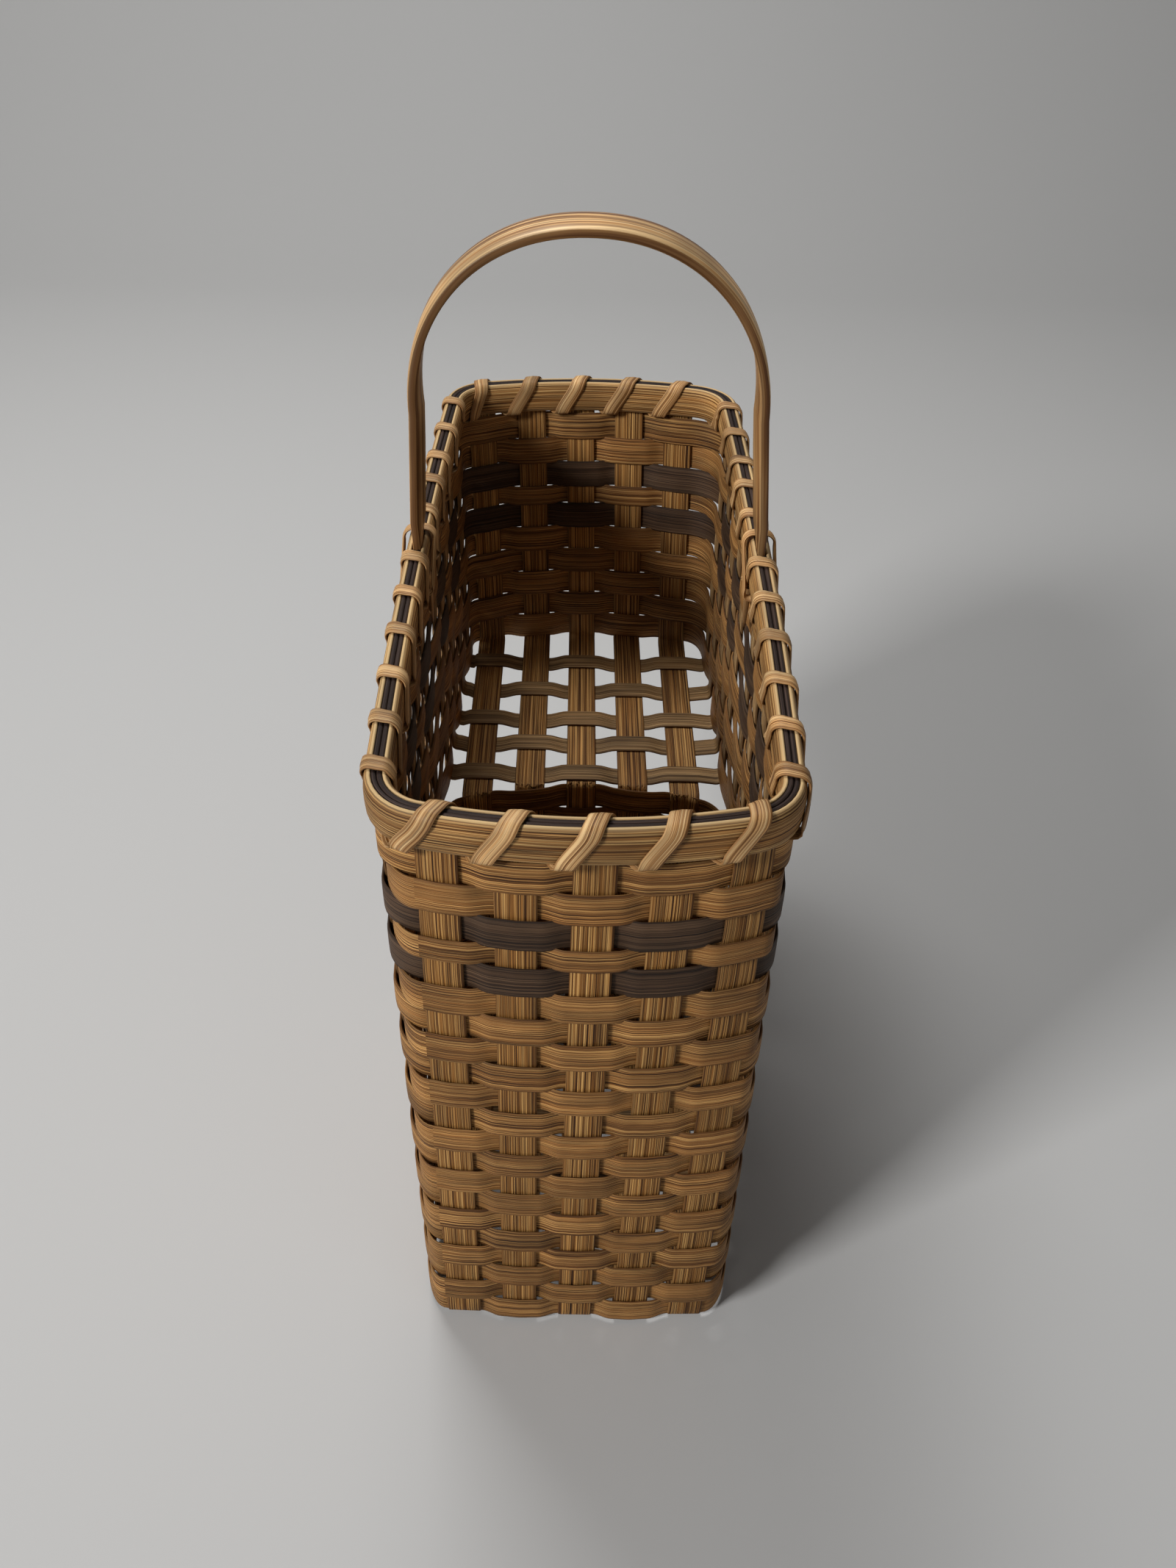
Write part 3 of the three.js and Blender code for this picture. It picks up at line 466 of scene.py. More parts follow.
# The darker edge colours of the weavers, stakes, cross stakes, dyed rows and lashing are painted shade along
# the strips' edges; the hoops' cream edge colour is their paler cut edge.
WEAVER_REED = reed_material("weaver_reed", srgb("42250a"), srgb("a06a35"), srgb("e0ae6a"), streak=0.9,
                            edge_colour=srgb("4c3018"), edge_mix=0.5)
STAKE_REED = reed_material("stake_reed", srgb("48280d"), srgb("9d6930"), srgb("e2b16c"), streak=0.95,
                           fibre=24.0, blotch=0.16, edge_colour=srgb("4c3018"), edge_mix=0.5)
CROSS_REED = reed_material("cross_stake_reed", srgb("523b21"), srgb("926f45"), srgb("c2a070"), streak=0.7,
                           fibre=19.0, edge_colour=srgb("4c3018"), edge_mix=0.5)
DYED_REED = reed_material("dyed_reed", srgb("1e120a"), srgb("453020"), srgb("664e39"), streak=0.55,
                          roughness=0.6, edge_colour=srgb("1b140f"), edge_mix=0.4)
HOOP_REED = reed_material("hoop_reed", srgb("5c3817"), srgb("b07c43"), srgb("dbb274"), streak=0.95,
                          fibre=19.0, bump=0.5, edge_colour=srgb("d9ba88"), edge_mix=0.75)
FILLER_REED = reed_material("filler_reed", srgb("1a1110"), srgb("35261f"), srgb("4e3c33"), streak=0.4,
                            roughness=0.6, fibre=30.0)
LASHING_REED = reed_material("lashing_reed", srgb("855a2e"), srgb("c49560"), srgb("e2bd88"), streak=0.7,
                             roughness=0.5, fibre=14.0, edge_colour=srgb("7a5229"), edge_mix=0.4)
# The handle's dark edge colour, mixed in strongly, is painted shade on its narrow edges and inner face.
HANDLE_WOOD = reed_material("handle_wood", srgb("835632"), srgb("d8a468"), srgb("f4cf98"), streak=0.6,
                            roughness=0.42, fibre=17.0, bump=0.25, edge_colour=srgb("54351b"), edge_mix=0.8)


# Weavers.
# A weaver's places across a stake from edge to edge, and its steps from stake to stake.
BAND_PLACES = (-1, -0.7, -0.35, 0, 0.35, 0.7, 1)
STRAIGHT_STEPS, CORNER_STEPS, CORNER_COS = 6, 10, 0.9
BESIDE_STAKE = 0.6
SLACK = (0.94, 1.0)

# The scene's weavers are wider than the solids, and each wanders a little up and down and in width.
WEAVER_SEED = 1000
SPREAD = 1.12
LIFT_PERIOD, LIFT = 90, 0.28
SLIM_PERIOD, SLIM = 160, 0.012


def between(start, along, end, along_after, t):
    """A place on the smooth curve from one stake to the next. Both directions are unit."""
    span = np.linalg.norm(end - start)
    h00, h10 = 2 * t ** 3 - 3 * t ** 2 + 1, t ** 3 - 2 * t ** 2 + t
    h01, h11 = -2 * t ** 3 + 3 * t ** 2, t ** 3 - t ** 2
    return h00 * start + h10 * span * along + h01 * end + h11 * span * along_after


def ring_paths(lines, heights, sign, rng):
    """For each height, the points of a band round the ring. Every height has the same steps."""
    paths = [[] for _ in heights]
    outs = []
    for line in lines:
        bend = WEAVER_WAVE + (line.thickness - STAKE_THICKNESS) / 2
        outs.append(sign * line.parity * bend * rng.uniform(*SLACK))
    for i, (line, out) in enumerate(zip(lines, outs)):
        following = (i + 1) % len(lines)
        after, out_after = lines[following], outs[following]
        bow = SIDE_BOW if line.width == CROSS_WIDTH else END_BOW
        half, half_after = line.width / 2 + BESIDE_STAKE, after.width / 2 + BESIDE_STAKE
        for path, z in zip(paths, heights):
            p, n, along = line.at(z)
            for t in BAND_PLACES:
                bulge = out * (1 + bow * math.cos(math.pi / 2 * t) ** 2)
                path.append(p + along * (t * half) + n * bulge)
            q, m, along_after = after.at(z)
            start, end = p + along * half, q - along_after * half_after
            steps = STRAIGHT_STEPS if np.dot(n, m) > CORNER_COS else CORNER_STEPS
            for j in range(1, steps):
                t = j / steps
                normal = unit(n * (1 - t) + m * t)
                path.append(between(start, along, end, along_after, t)
                            + normal * (out + (out_after - out) * smooth(t)))
    return [np.array(path) for path in paths]


def weaver(row):
    """One closed band of weaving."""
    rng = random.Random(WEAVER_SEED + row)
    lines = upper_ring if row <= UPPER_ROWS else lower_ring
    base, width = row_base(row), row_width(row)
    low, high = ring_paths(lines, [base, base + width], row_sign(row), rng)
    steps = np.linalg.norm(np.roll(low, -1, 0) - low, axis=1)
    distance = np.concatenate([[0], np.cumsum(steps)[:-1]])
    length = steps.sum()
    shift = noise_wave(rng, length, LIFT_PERIOD, LIFT)
    slim = noise_wave(rng, length, SLIM_PERIOD, SLIM)
    centres = (low + high) / 2
    centres[:, 2] += np.array([shift(s) for s in distance])
    across = high - low
    across /= np.linalg.norm(across, axis=1)[:, None]
    profile, edge = reed_profile(width, WEAVER_THICKNESS)
    rings = strip_rings(centres, across, profile, True, widths=[SPREAD + slim(s) for s in distance])
    dyed = row in DYED_ROWS
    add_mesh("row_%02d" % row, *sweep(rings, True, edge), DYED_REED if dyed else WEAVER_REED,
             "dyed_reed" if dyed else "weaver_reed", "weaver_row_%02d" % row)


# Stakes.
UPPER_LIST = list(range(1, UPPER_ROWS + 1))
LOWER_LIST = list(range(UPPER_ROWS + 1, UPPER_ROWS + LOWER_ROWS + 1))
ALL_ROWS = UPPER_LIST + LOWER_LIST

RIGHT, FORTH, UP = np.eye(3)
WALL_STEP = ROW_PITCH / 5
WAVE_FADE = 9
FOLD_STEPS = 5

# Where the run up a wall starts above a floor, and how near to a fold a floor's run comes.
WALL_START, FLOOR_CLEAR = FOLD_RADIUS + 1.5, FOLD_RADIUS + 1

# A stake folded over inside the rim: its distance under the highest place, and its share of the lean.
CUT_OFF, LEAN_SPARE = 0.4, 0.35
FOLDED_OVER = ((1.6, 1), (0.9, 0.8), (0.8, 0), (0.9, -0.8), (1.6, -1))
FOLDED_END = RIM_UNDER_Z + 5


class Path:
    """The centres of a strip, and its width direction at each of them."""

    def __init__(self):
        self.centres, self.across = [], []

    def put(self, centre, across):
        self.centres.append(centre)
        self.across.append(across)

    def add(self, other, order=1, side=1):
        """Another path at the end of this one. order -1 runs it backwards, side -1 turns its width."""
        self.centres += other.centres[::order]
        self.across += [side * a for a in other.across[::order]]


def wall_wave(line, z, rows):
    """How far a stake in a wall bends away from the weaver that crosses it at a height."""
    middles = [row_middle(r) for r in rows]
    pushes = [-row_sign(r) * line.parity * STAKE_WAVE for r in rows]
    if z <= middles[-1]:
        return pushes[-1] * max(0.0, 1 - (middles[-1] - z) / WAVE_FADE)
    if z >= middles[0]:
        return pushes[0] * max(0.0, 1 - (z - middles[0]) / WAVE_FADE)
    i = next(i for i in range(len(rows) - 1) if middles[i + 1] <= z)
    t = smooth((z - middles[i + 1]) / (middles[i] - middles[i + 1]))
    return pushes[i + 1] * (1 - t) + pushes[i] * t


def rim_lean(line):
    """How far out a stake stands between the hoops."""
    return RIM_SLOT / 2 - CLEARANCE - LEAN_SPARE - line.thickness / 2


def wall_run(line, floor_z, rows, folded):
    """A stake from the floor's fold to its end in the rim."""
    path = Path()

    def put(z, out):
        p, n, along = line.at(z)
        path.put(p + n * out, along)

    z = floor_z + WALL_START
    while z < ROW_ONE_TOP_Z - 1:
        put(z, wall_wave(line, z, rows))
        z += WALL_STEP
    lean = rim_lean(line)
    put(ROW_ONE_TOP_Z + 0.4, lean * 0.1)
    put(RIM_UNDER_Z + 4, lean)
    if not folded:
        put(STAKE_TOP_Z - CUT_OFF, lean)
        return path
    for under, share in FOLDED_OVER:
        put(STAKE_TOP_Z - under, lean * share)
    put(FOLDED_END, -lean)
    return path


def fold_arc(corner, before, after, across_before, across_after):
    """A rounded fold at a corner, from the direction before it to the one after it (both unit)."""
    path = Path()
    for i in range(FOLD_STEPS + 1):
        t = i / FOLD_STEPS
        place = corner - before * FOLD_RADIUS * (1 - t) ** 2
        path.put(place + after * FOLD_RADIUS * t ** 2, unit(across_before * (1 - t) + across_after * t))
    return path


# Fibres that have split off where a stake is folded over the edge of the step. They start at one
# of the fold's points.
FRAY_SEED, FRAY_COUNT, FRAY_FROM = 50, 44, 4
FRAY_SHORT, FRAY_LONG, FRAY_LONG_SHARE = (2.2, 3.2), (3.6, 6.5), 0.6
FRAY_BASE = np.array([0, 1.5, STAKE_THICKNESS / 2 + 0.05])
FRAY_SAG = -0.12
FRAY_HALF = np.array([0, 0, 0.15])


def frayed_edge(k, corner):
    """A fringe of short fibres, some of them longer, that hang over the edge."""
    rng = random.Random(FRAY_SEED + k)
    rings = []
    base = corner + FRAY_BASE
    for i in range(FRAY_COUNT):
        x = (i / (FRAY_COUNT - 1) - 0.5) * (STAKE_WIDTH - 1)
        long = i % 2 and rng.random() < FRAY_LONG_SHARE
        reach = rng.uniform(*(FRAY_LONG if long else FRAY_SHORT))
        root = base + np.array([x, 0, 0])
        aside = rng.uniform(-0.5, 0.5)
        down = FRAY_SAG * reach * reach / 2 + rng.uniform(-0.3, 0.5)
        rings.append([root + FRAY_HALF, root + np.array([aside, -reach, down]), root - FRAY_HALF])
    add_mesh("frayed_edge_%d" % (k + 1), *sweep(np.array(rings), False, [0, 0, 0]), STAKE_REED,
             "stake_reed", "long_stake_%d" % (k + 1))


def floor_run(path, k, start, end, crossed, z):
    """A long stake along a floor, over and under the cross stakes whose numbers are given."""
    for i in crossed:
        over = 1 if (i - crossed[0]) % 2 == k % 2 else -1
        for part in (-0.5, 0, 0.5):
            y = CROSS_Y[i] + part * CROSS_WIDTH
            if y < start[1] + FLOOR_CLEAR or y > end[1] - FLOOR_CLEAR:
                continue
            t = (y - start[1]) / (end[1] - start[1])
            q = start * (1 - t) + end * t
            q[2] = z - over * FLOOR_STAKE_WAVE * (1 if part == 0 else 0.8)
            path.put(q, RIGHT)


def long_stake(k):
    """Down the near wall, along the floor, up the riser, along the upper floor and up the far wall."""
    near, riser, far = near_lines[k], riser_lines[k], far_lines[k]
    folded = long_parity(k) > 0
    path = Path()
    path.add(wall_run(near, FLOOR_Z, ALL_ROWS, folded), order=-1)
    near_foot, _, near_along = near.at(FLOOR_Z)
    riser_foot, _, riser_along = riser.at(FLOOR_Z)
    path.add(fold_arc(near_foot, -UP, FORTH, near_along, RIGHT))
    floor_run(path, k, near_foot, riser_foot, range(LOWER_CROSS), FLOOR_Z)
    path.add(fold_arc(riser_foot, FORTH, UP, RIGHT, -riser_along))
    z = FLOOR_Z + WALL_START
    while z < UPPER_FLOOR_Z - FLOOR_CLEAR:
        p, n, along = riser.at(z)
        path.put(p + n * wall_wave(riser, z, LOWER_LIST), -along)
        z += WALL_STEP
    step_edge, _, step_along = riser.at(UPPER_FLOOR_Z)
    far_foot, _, far_along = far.at(UPPER_FLOOR_Z)
    fold = fold_arc(step_edge, UP, FORTH, -step_along, RIGHT)
    frayed_edge(k, fold.centres[FRAY_FROM])
    path.add(fold)
    floor_run(path, k, step_edge, far_foot, range(LOWER_CROSS, len(CROSS_Y)), UPPER_FLOOR_Z)
    path.add(fold_arc(far_foot, FORTH, UP, RIGHT, -far_along))
    path.add(wall_run(far, UPPER_FLOOR_Z, UPPER_LIST, folded), side=-1)
    profile, edge = reed_profile(STAKE_WIDTH, STAKE_THICKNESS, crown=0.1)
    rings = strip_rings(path.centres, path.across, profile, False, flip=-1)
    add_mesh("stake_%d" % (k + 1), *sweep(rings, False, edge), STAKE_REED, "stake_reed",
             "long_stake_%d" % (k + 1))


# A cross stake's places over a long stake, how far it flattens towards them, and its steps between two.
OVER_PLACES, FLATTEN = (-1, -0.5, 0, 0.5, 1), 0.06
CROSS_STEPS = 5
BESIDE_LONG = 0.4


def cross_stake(i):
    """Down the left wall, across a floor over and under the long stakes, and up the right wall."""
    lower = i < LOWER_CROSS
    z = FLOOR_Z if lower else UPPER_FLOOR_Z
    rows = ALL_ROWS if lower else UPPER_LIST
    folded = cross_parity(i) > 0
    left, right = left_lines[i], right_lines[i]
    path = Path()
    path.add(wall_run(left, z, rows, folded), order=-1, side=-1)
    foot, _, along = left.at(z)
    path.add(fold_arc(foot, -UP, RIGHT, -along, FORTH))
    lows, highs = (near_lines, riser_lines) if lower else (riser_lines, far_lines)
    crossings = []
    for k in range(LONG_STAKES):
        a, b = lows[k].at(z)[0], highs[k].at(z)[0]
        x = a[0] + (b[0] - a[0]) * (CROSS_Y[i] - a[1]) / (b[1] - a[1])
        over = 1 if (i if lower else i - LOWER_CROSS) % 2 == k % 2 else -1
        crossings.append((x, over))
    half = STAKE_WIDTH / 2 + BESIDE_LONG
    for c, (x, over) in enumerate(crossings):
        for t in OVER_PLACES:
            height = z + over * FLOOR_WAVE * (1 - FLATTEN * t * t)
            path.put(np.array([x + t * half, CROSS_Y[i], height]), FORTH)
        if c + 1 < len(crossings):
            x_after, over_after = crossings[c + 1]
            a, b = x + half, x_after - half
            for j in range(1, CROSS_STEPS):
                t = j / CROSS_STEPS
                lift = over + (over_after - over) * smooth(t)
                height = z + lift * FLOOR_WAVE * (1 - FLATTEN)
                path.put(np.array([a + (b - a) * t, CROSS_Y[i], height]), FORTH)
    foot, _, along = right.at(z)
    path.add(fold_arc(foot, RIGHT, UP, FORTH, along))
    path.add(wall_run(right, z, rows, folded))
    profile, edge = reed_profile(CROSS_WIDTH, CROSS_THICKNESS, crown=0.1)
    rings = strip_rings(path.centres, path.across, profile, False)
    add_mesh("cross_%02d" % (i + 1), *sweep(rings, False, edge), CROSS_REED, "cross_stake_reed",
             "cross_stake_%02d" % (i + 1))


# Rim.
END_RUN = RIM.end * RIM_END_ARC
CORNER_RUN = RIM.corner * (math.pi / 2 - SIDE_ARC - RIM_END_ARC)
QUARTER = END_RUN + CORNER_RUN + RIM.side * SIDE_ARC
AROUND = 4 * QUARTER


def rim_at(distance):
    """Point, outward normal and direction at a distance along the rim, from the near end's middle."""
    around = distance % AROUND
    quarter = min(3, int(around / QUARTER))
    part = around - quarter * QUARTER
    run = part if quarter % 2 == 0 else QUARTER - part
    if run < END_RUN:
        heading = run / RIM.end
    elif run < END_RUN + CORNER_RUN:
        heading = RIM_END_ARC + (run - END_RUN) / RIM.corner
    else:
        heading = math.pi / 2 - SIDE_ARC + (run - END_RUN - CORNER_RUN) / RIM.side
    p, n = RIM.at(heading, 1 if quarter < 2 else -1, -1 if quarter in (0, 3) else 1)
    return p, n, np.array([-n[1], n[0], 0.0])


def distance_of(place):
    """The distance along the rim whose point lies nearest to a place."""
    def off(s):
        return np.linalg.norm(rim_at(s)[0][:2] - place[:2])

    best = min(np.arange(0, AROUND, 2.0), key=off)
    step = 1.0
    while step > 1e-3:
        here = off(best)
        if off(best + step) < here:
            best += step
        elif off(best - step) < here:
            best -= step
        else:
            step /= 2
    return best


RIM_STEP = 4

# The hoops' top and bottom edges rise and fall a little: seeds, and period and size of each.
OUTER_SEED, INNER_SEED = 7, 8
RISE_PERIOD, RISE = 60, 0.35
SAG_PERIOD, SAG = 80, 0.25
HOOP_EASE = 0.3
HOOP_EDGE = [0.6, 1, 1, 0.3, 0, 0, 0, 0, 0, 0.35, 1, 1, 0.6, 0]


def hoop(name, side, node):
    """A thick flat hoop with eased, cut edges, on one side of the slot."""
    rng = random.Random(OUTER_SEED if side > 0 else INNER_SEED)
    rise = noise_wave(rng, AROUND, RISE_PERIOD, RISE)
    sag = noise_wave(rng, AROUND, SAG_PERIOD, SAG)
    low, high = RIM_SLOT / 2, RIM_SLOT / 2 + HOOP_THICKNESS
    rings = []
    count = int(AROUND / RIM_STEP)
    for i in range(count):
        s = i * AROUND / count
        p, n, _ = rim_at(s)
        bottom, top = RIM_UNDER_Z + HOOP_EASE + sag(s), RIM_TOP_Z - HOOP_EASE + rise(s)
        mid = (bottom + top) / 2
        section = [(low, bottom + 0.8), (low + 0.7, bottom), (high - 2.0, bottom),
                   (high - 1.0, bottom + 0.9), (high - 0.35, bottom + 2.6), (high, mid - 3), (high, mid + 3),
                   (high - 0.3, top - 3.4), (high - 1.0, top - 1.4), (high - 1.9, top - 0.4),
                   (low + 0.9, top), (low + 0.3, top), (low, top - 0.4), (low, mid)]
        rings.append([np.array([p[0], p[1], z]) + n * side * out for out, z in section])
    add_mesh(name, *sweep(np.array(rings), True, HOOP_EDGE), HOOP_REED, "hoop_reed", node)


# The filler is two thin round reeds side by side, which wander up and down a little.
NEAR_SEED, FAR_SEED = 21, 22
FILLER_RADIUS, FILLER_SIDES, FILLER_STEP = 1.28, 10, 4
BESIDE_LEG, UNDER_TOP, BETWEEN_REEDS = 0.8, 0.35, 0.03
WANDER_PERIOD, WANDER = 70, 0.4


def filler(name, sy, node):
    """The reeds of one half of the slot, from leg to leg."""
    stop = HANDLE_Y + sy * (LEG_WIDTH / 2 + BESIDE_LEG)
    right, left = (distance_of(RIM.at_y(stop, sx)[0]) for sx in (1, -1))
    start, end = (left - AROUND, right) if sy < 0 else (right, left)
    count = int((end - start) / FILLER_STEP)
    rng = random.Random(NEAR_SEED if sy < 0 else FAR_SEED)
    turns = [2 * math.pi * j / FILLER_SIDES for j in range(FILLER_SIDES)]
    circle = [(FILLER_RADIUS * math.cos(turn), FILLER_RADIUS * math.sin(turn)) for turn in turns]
    for strand, side in enumerate((-1, 1)):
        wander = noise_wave(rng, AROUND, WANDER_PERIOD, WANDER)
        middle = side * (FILLER_RADIUS + BETWEEN_REEDS)
        rings = []
        for i in range(count + 1):
            s = start + (end - start) * i / count
            p, n, _ = rim_at(s)
            z = RIM_TOP_Z - FILLER_RADIUS - UNDER_TOP + wander(s) * 0.5
            rings.append([np.array([p[0], p[1], z + up]) + n * (middle + out) for out, up in circle])
        add_mesh("%s_%d" % (name, strand + 1), *sweep(np.array(rings), False, [0] * FILLER_SIDES),
                 FILLER_REED, "filler_reed", node)


# Lashing: each turn goes up the outer face, over the rim at a stake, and down the inner face.
LASH_CLEAR = 0.12
LASH_FACE = RIM_SLOT / 2 + HOOP_THICKNESS + LASH_CLEAR + LASH_THICKNESS / 2
LASH_LOW = RIM_UNDER_Z - LASH_CLEAR - LASH_THICKNESS / 2
LASH_HIGH = RIM_TOP_Z + LASH_CLEAR + LASH_THICKNESS / 2
LOW_ROUND, TOP_ROUND = 2.0, 4.7
LASH_SPREAD, LASH_ARCH = 1.2, 0.5

# The visible run of a turn stays within a reach, and the rest is covered under the hoops, in a small
# share of the turn.
LASH_STEEPNESS, LASH_REACH, LASH_UNDER = 0.35, 15.5, 0.13
LASH_STEPS, LAST_TURN_STEPS = 44, 34
LASH_START = 2.5 * QUARTER
STRAIGHT_RADIUS = 1e9


def loop_point(turn, lift=0.0):
    """Out and up round the rim's section for a turn from 0 to 1, from under the middle, outer face
    first, and how far the strip has gone along the rim, as a share of each face."""
    f, lo, hi = LASH_FACE + lift, LASH_LOW - lift, LASH_HIGH + lift
    r, top_r = LOW_ROUND, TOP_ROUND
    low_flat, top_flat = f - r, 2 * (f - top_r)
    tall = hi - lo - r - top_r
    low_arc, top_arc = math.pi / 2 * r, math.pi / 2 * top_r
    runs = [low_flat, low_arc, tall, top_arc, top_flat, top_arc, tall, low_arc, low_flat]
    d = turn * sum(runs)
    for i, run in enumerate(runs):
        if d <= run or i == len(runs) - 1:
            break
        d -= run
    t = d / run
    quarter = t * math.pi / 2
    share = 2 * turn - LASH_STEEPNESS * math.sin(4 * math.pi * turn) / (2 * math.pi)
    points = [
        (t * low_flat, lo),
        (f - r + r * math.sin(quarter), lo + r - r * math.cos(quarter)),
        (f, lo + r + t * tall),
        (f - top_r + top_r * math.cos(quarter), hi - top_r + top_r * math.sin(quarter)),
        (f - top_r - t * top_flat, hi),
        (top_r - f - top_r * math.sin(quarter), hi - top_r + top_r * math.cos(quarter)),
        (-f, hi - top_r - t * tall),
        (r - f - r * math.cos(quarter), lo + r - r * math.sin(quarter)),
        (r - f + t * low_flat, lo),
    ]
    return *points[i], share


def held_share(share, span):
    """The share of the way to the top of a turn, with a long way covered under the hoops, out of sight."""
    held = min(1.0, LASH_REACH / span)
    low = 1 - held * (1 - LASH_UNDER)
    return share / LASH_UNDER * low if share < LASH_UNDER else 1 - held * (1 - share)


def lash_turn(gap, top, after):
    """Centres and width directions of one turn from the gap before a stake to the gap after it."""
    path = Path()
    for i in range(LASH_STEPS):
        out, z, share = loop_point(i / LASH_STEPS)
        if share <= 1:
            s = gap + (top - gap) * held_share(share, top - gap)
        else:
            s = after - (after - top) * held_share(2 - share, after - top)
        p, n, along = rim_at(s)
        cornered = abs(n[0]) > math.sin(RIM_END_ARC) and abs(n[1]) > math.sin(SIDE_ARC)
        radius = RIM.corner if cornered else STRAIGHT_RADIUS
        bow = (LASH_WIDTH / 2) ** 2 / 2 / (radius - LASH_FACE) if out < -LASH_FACE + 0.5 else 0
        path.put(np.array([p[0], p[1], z]) + n * (out - bow), along)
    return path


def add_lashing(name, path, width, closed):
    """A strip of lashing whose width stands square to its run."""
    points = np.array(path.centres)
    if closed:
        forward = np.roll(points, -1, 0) - np.roll(points, 1, 0)
    else:
        forward = np.gradient(points, axis=0)
    forward /= np.linalg.norm(forward, axis=1)[:, None]
    across = [unit(a - f * np.dot(a, f)) for a, f in zip(path.across, forward)]
    profile, edge = reed_profile(width, LASH_THICKNESS, crown=LASH_ARCH)
    rings = strip_rings(path.centres, across, profile, closed, flip=-1)
    add_mesh(name, *sweep(rings, closed, edge), LASHING_REED, "lashing_reed", "rim_lashing")


def lashing():
    """All turns of the strip, one at each stake. It ends before its last turn closes."""
    tops = sorted(distance_of(line.at(RIM_UNDER_Z)[0]) for line in upper_ring)
    start = next(i for i, s in enumerate(tops) if s > LASH_START)
    tops = tops[start:] + [s + AROUND for s in tops[:start]]
    leg_gaps = [distance_of(RIM.at_y(NECK_LASH_Y, sx)[0]) for sx in (1, -1)]
    leg_gaps += [s + AROUND for s in leg_gaps]

    def gap_before(i):
        a, b = (tops[i - 1] if i > 0 else tops[-1] - AROUND), tops[i]
        return next((s for s in leg_gaps if a < s < b), (a + b) / 2)

    path = Path()
    for i, top in enumerate(tops):
        after = gap_before(i + 1) if i + 1 < len(tops) else gap_before(0) + AROUND
        path.add(lash_turn(gap_before(i), top, after))
    spare = LASH_STEPS - LAST_TURN_STEPS
    path.centres, path.across = path.centres[:-spare], path.across[:-spare]
    add_lashing("lashing", path, LASH_WIDTH + LASH_SPREAD, False)


# One more turn at each leg of the handle lies on top of the first and crosses it.
CROSS_TOP_Y = HANDLE_Y + LEG_WIDTH / 2 + 3
CROSS_LOW_Y = HANDLE_Y - LEG_WIDTH / 2 - 9
CROSS_LIFT = LASH_THICKNESS + 0.25
CROSS_TURN_STEPS = 60


def leg_crossing(name, sx):
    """A turn that goes over the rim behind a leg and under the hoops before it."""
    top, low = (distance_of(RIM.at_y(y, sx)[0]) for y in (CROSS_TOP_Y, CROSS_LOW_Y))
    path = Path()
    for i in range(CROSS_TURN_STEPS):
        out, z, share = loop_point(i / CROSS_TURN_STEPS, lift=CROSS_LIFT)
        p, n, along = rim_at(low + (top - low) * smooth(min(share, 2 - share)))
        path.put(np.array([p[0], p[1], z]) + n * out, along)
    add_lashing(name, path, LASH_WIDTH - 1, True)


# Handle. The arch is a little fuller at its shoulders than an ellipse, whose power is 2.
HANDLE_RISE, LEG_HEIGHT, TOP_WIDTH = 189.5, 94, 27
HANDLE_EDGE, HANDLE_CROWN, HANDLE_SKEW, ARCH_INSET = 4.2, 1.2, 3, 4.3
HANDLE_EASE, HANDLE_EASE_SHARE = 0.4, 0.2
ARCH_POWER, ARCH_STEPS, LEG_STEP = 2.13, 72, 4

# Share of the width by which the far edge of a leg stands further in than its near edge.
LEG_TURN, ARCH_FOOT_TURN = 0.14, 0.14 * 0.8

# Heights of a leg's sections, and its tail inside the wall.
TAIL_END_Z, LEG_FREE_Z, LEG_LEANS_Z = RIM_UNDER_Z - 30, RIM_TOP_Z + 14, RIM_UNDER_Z + 75
ARCH_Z = RIM_UNDER_Z + LEG_HEIGHT
TAIL_INSET = 4.6
UPPER_LEG_WIDTH = LEG_WIDTH + 1.5
SEATED_SHIFT, SEATED_EDGE, SEATED_CROWN = 0.35, RIM_SLOT - 1.3, 0.7
# How much of the handle's dark edge colour each point of its section takes: painted shade, all of it on the
# narrow edges and some on the inner face.
HANDLE_EDGES = [1, 0.6, 0.3, 0.6, 1, 1, 0.1, 0, 0, 0, 0, 0, 0.1, 1]


def handle_ring(x, z, out, width, edge, crown, turn):
    """A section of the handle: a flat inner face and a crowned outer one."""
    lean = -HANDLE_SKEW * max(0.0, (z - RIM_TOP_Z) / (HANDLE_RISE - HOOP_HEIGHT))
    a, e = width / 2, edge / 2
    ease = min(HANDLE_EASE, edge * HANDLE_EASE_SHARE)
    section = [(-a, -e + ease), (-a + ease, -e), (0, -e - 0.05), (a - ease, -e), (a, -e + ease),
               (a, e - ease), (a - ease, e), (a * 0.62, e + crown * 0.72), (a * 0.3, e + crown * 0.95),
               (0, e + crown), (-a * 0.3, e + crown * 0.95), (-a * 0.62, e + crown * 0.72),
               (-a + ease, e), (-a, e - ease)]
    return [np.array([x + lean, HANDLE_Y + u, z]) + out * (v - turn * (u + a)) for u, v in section]


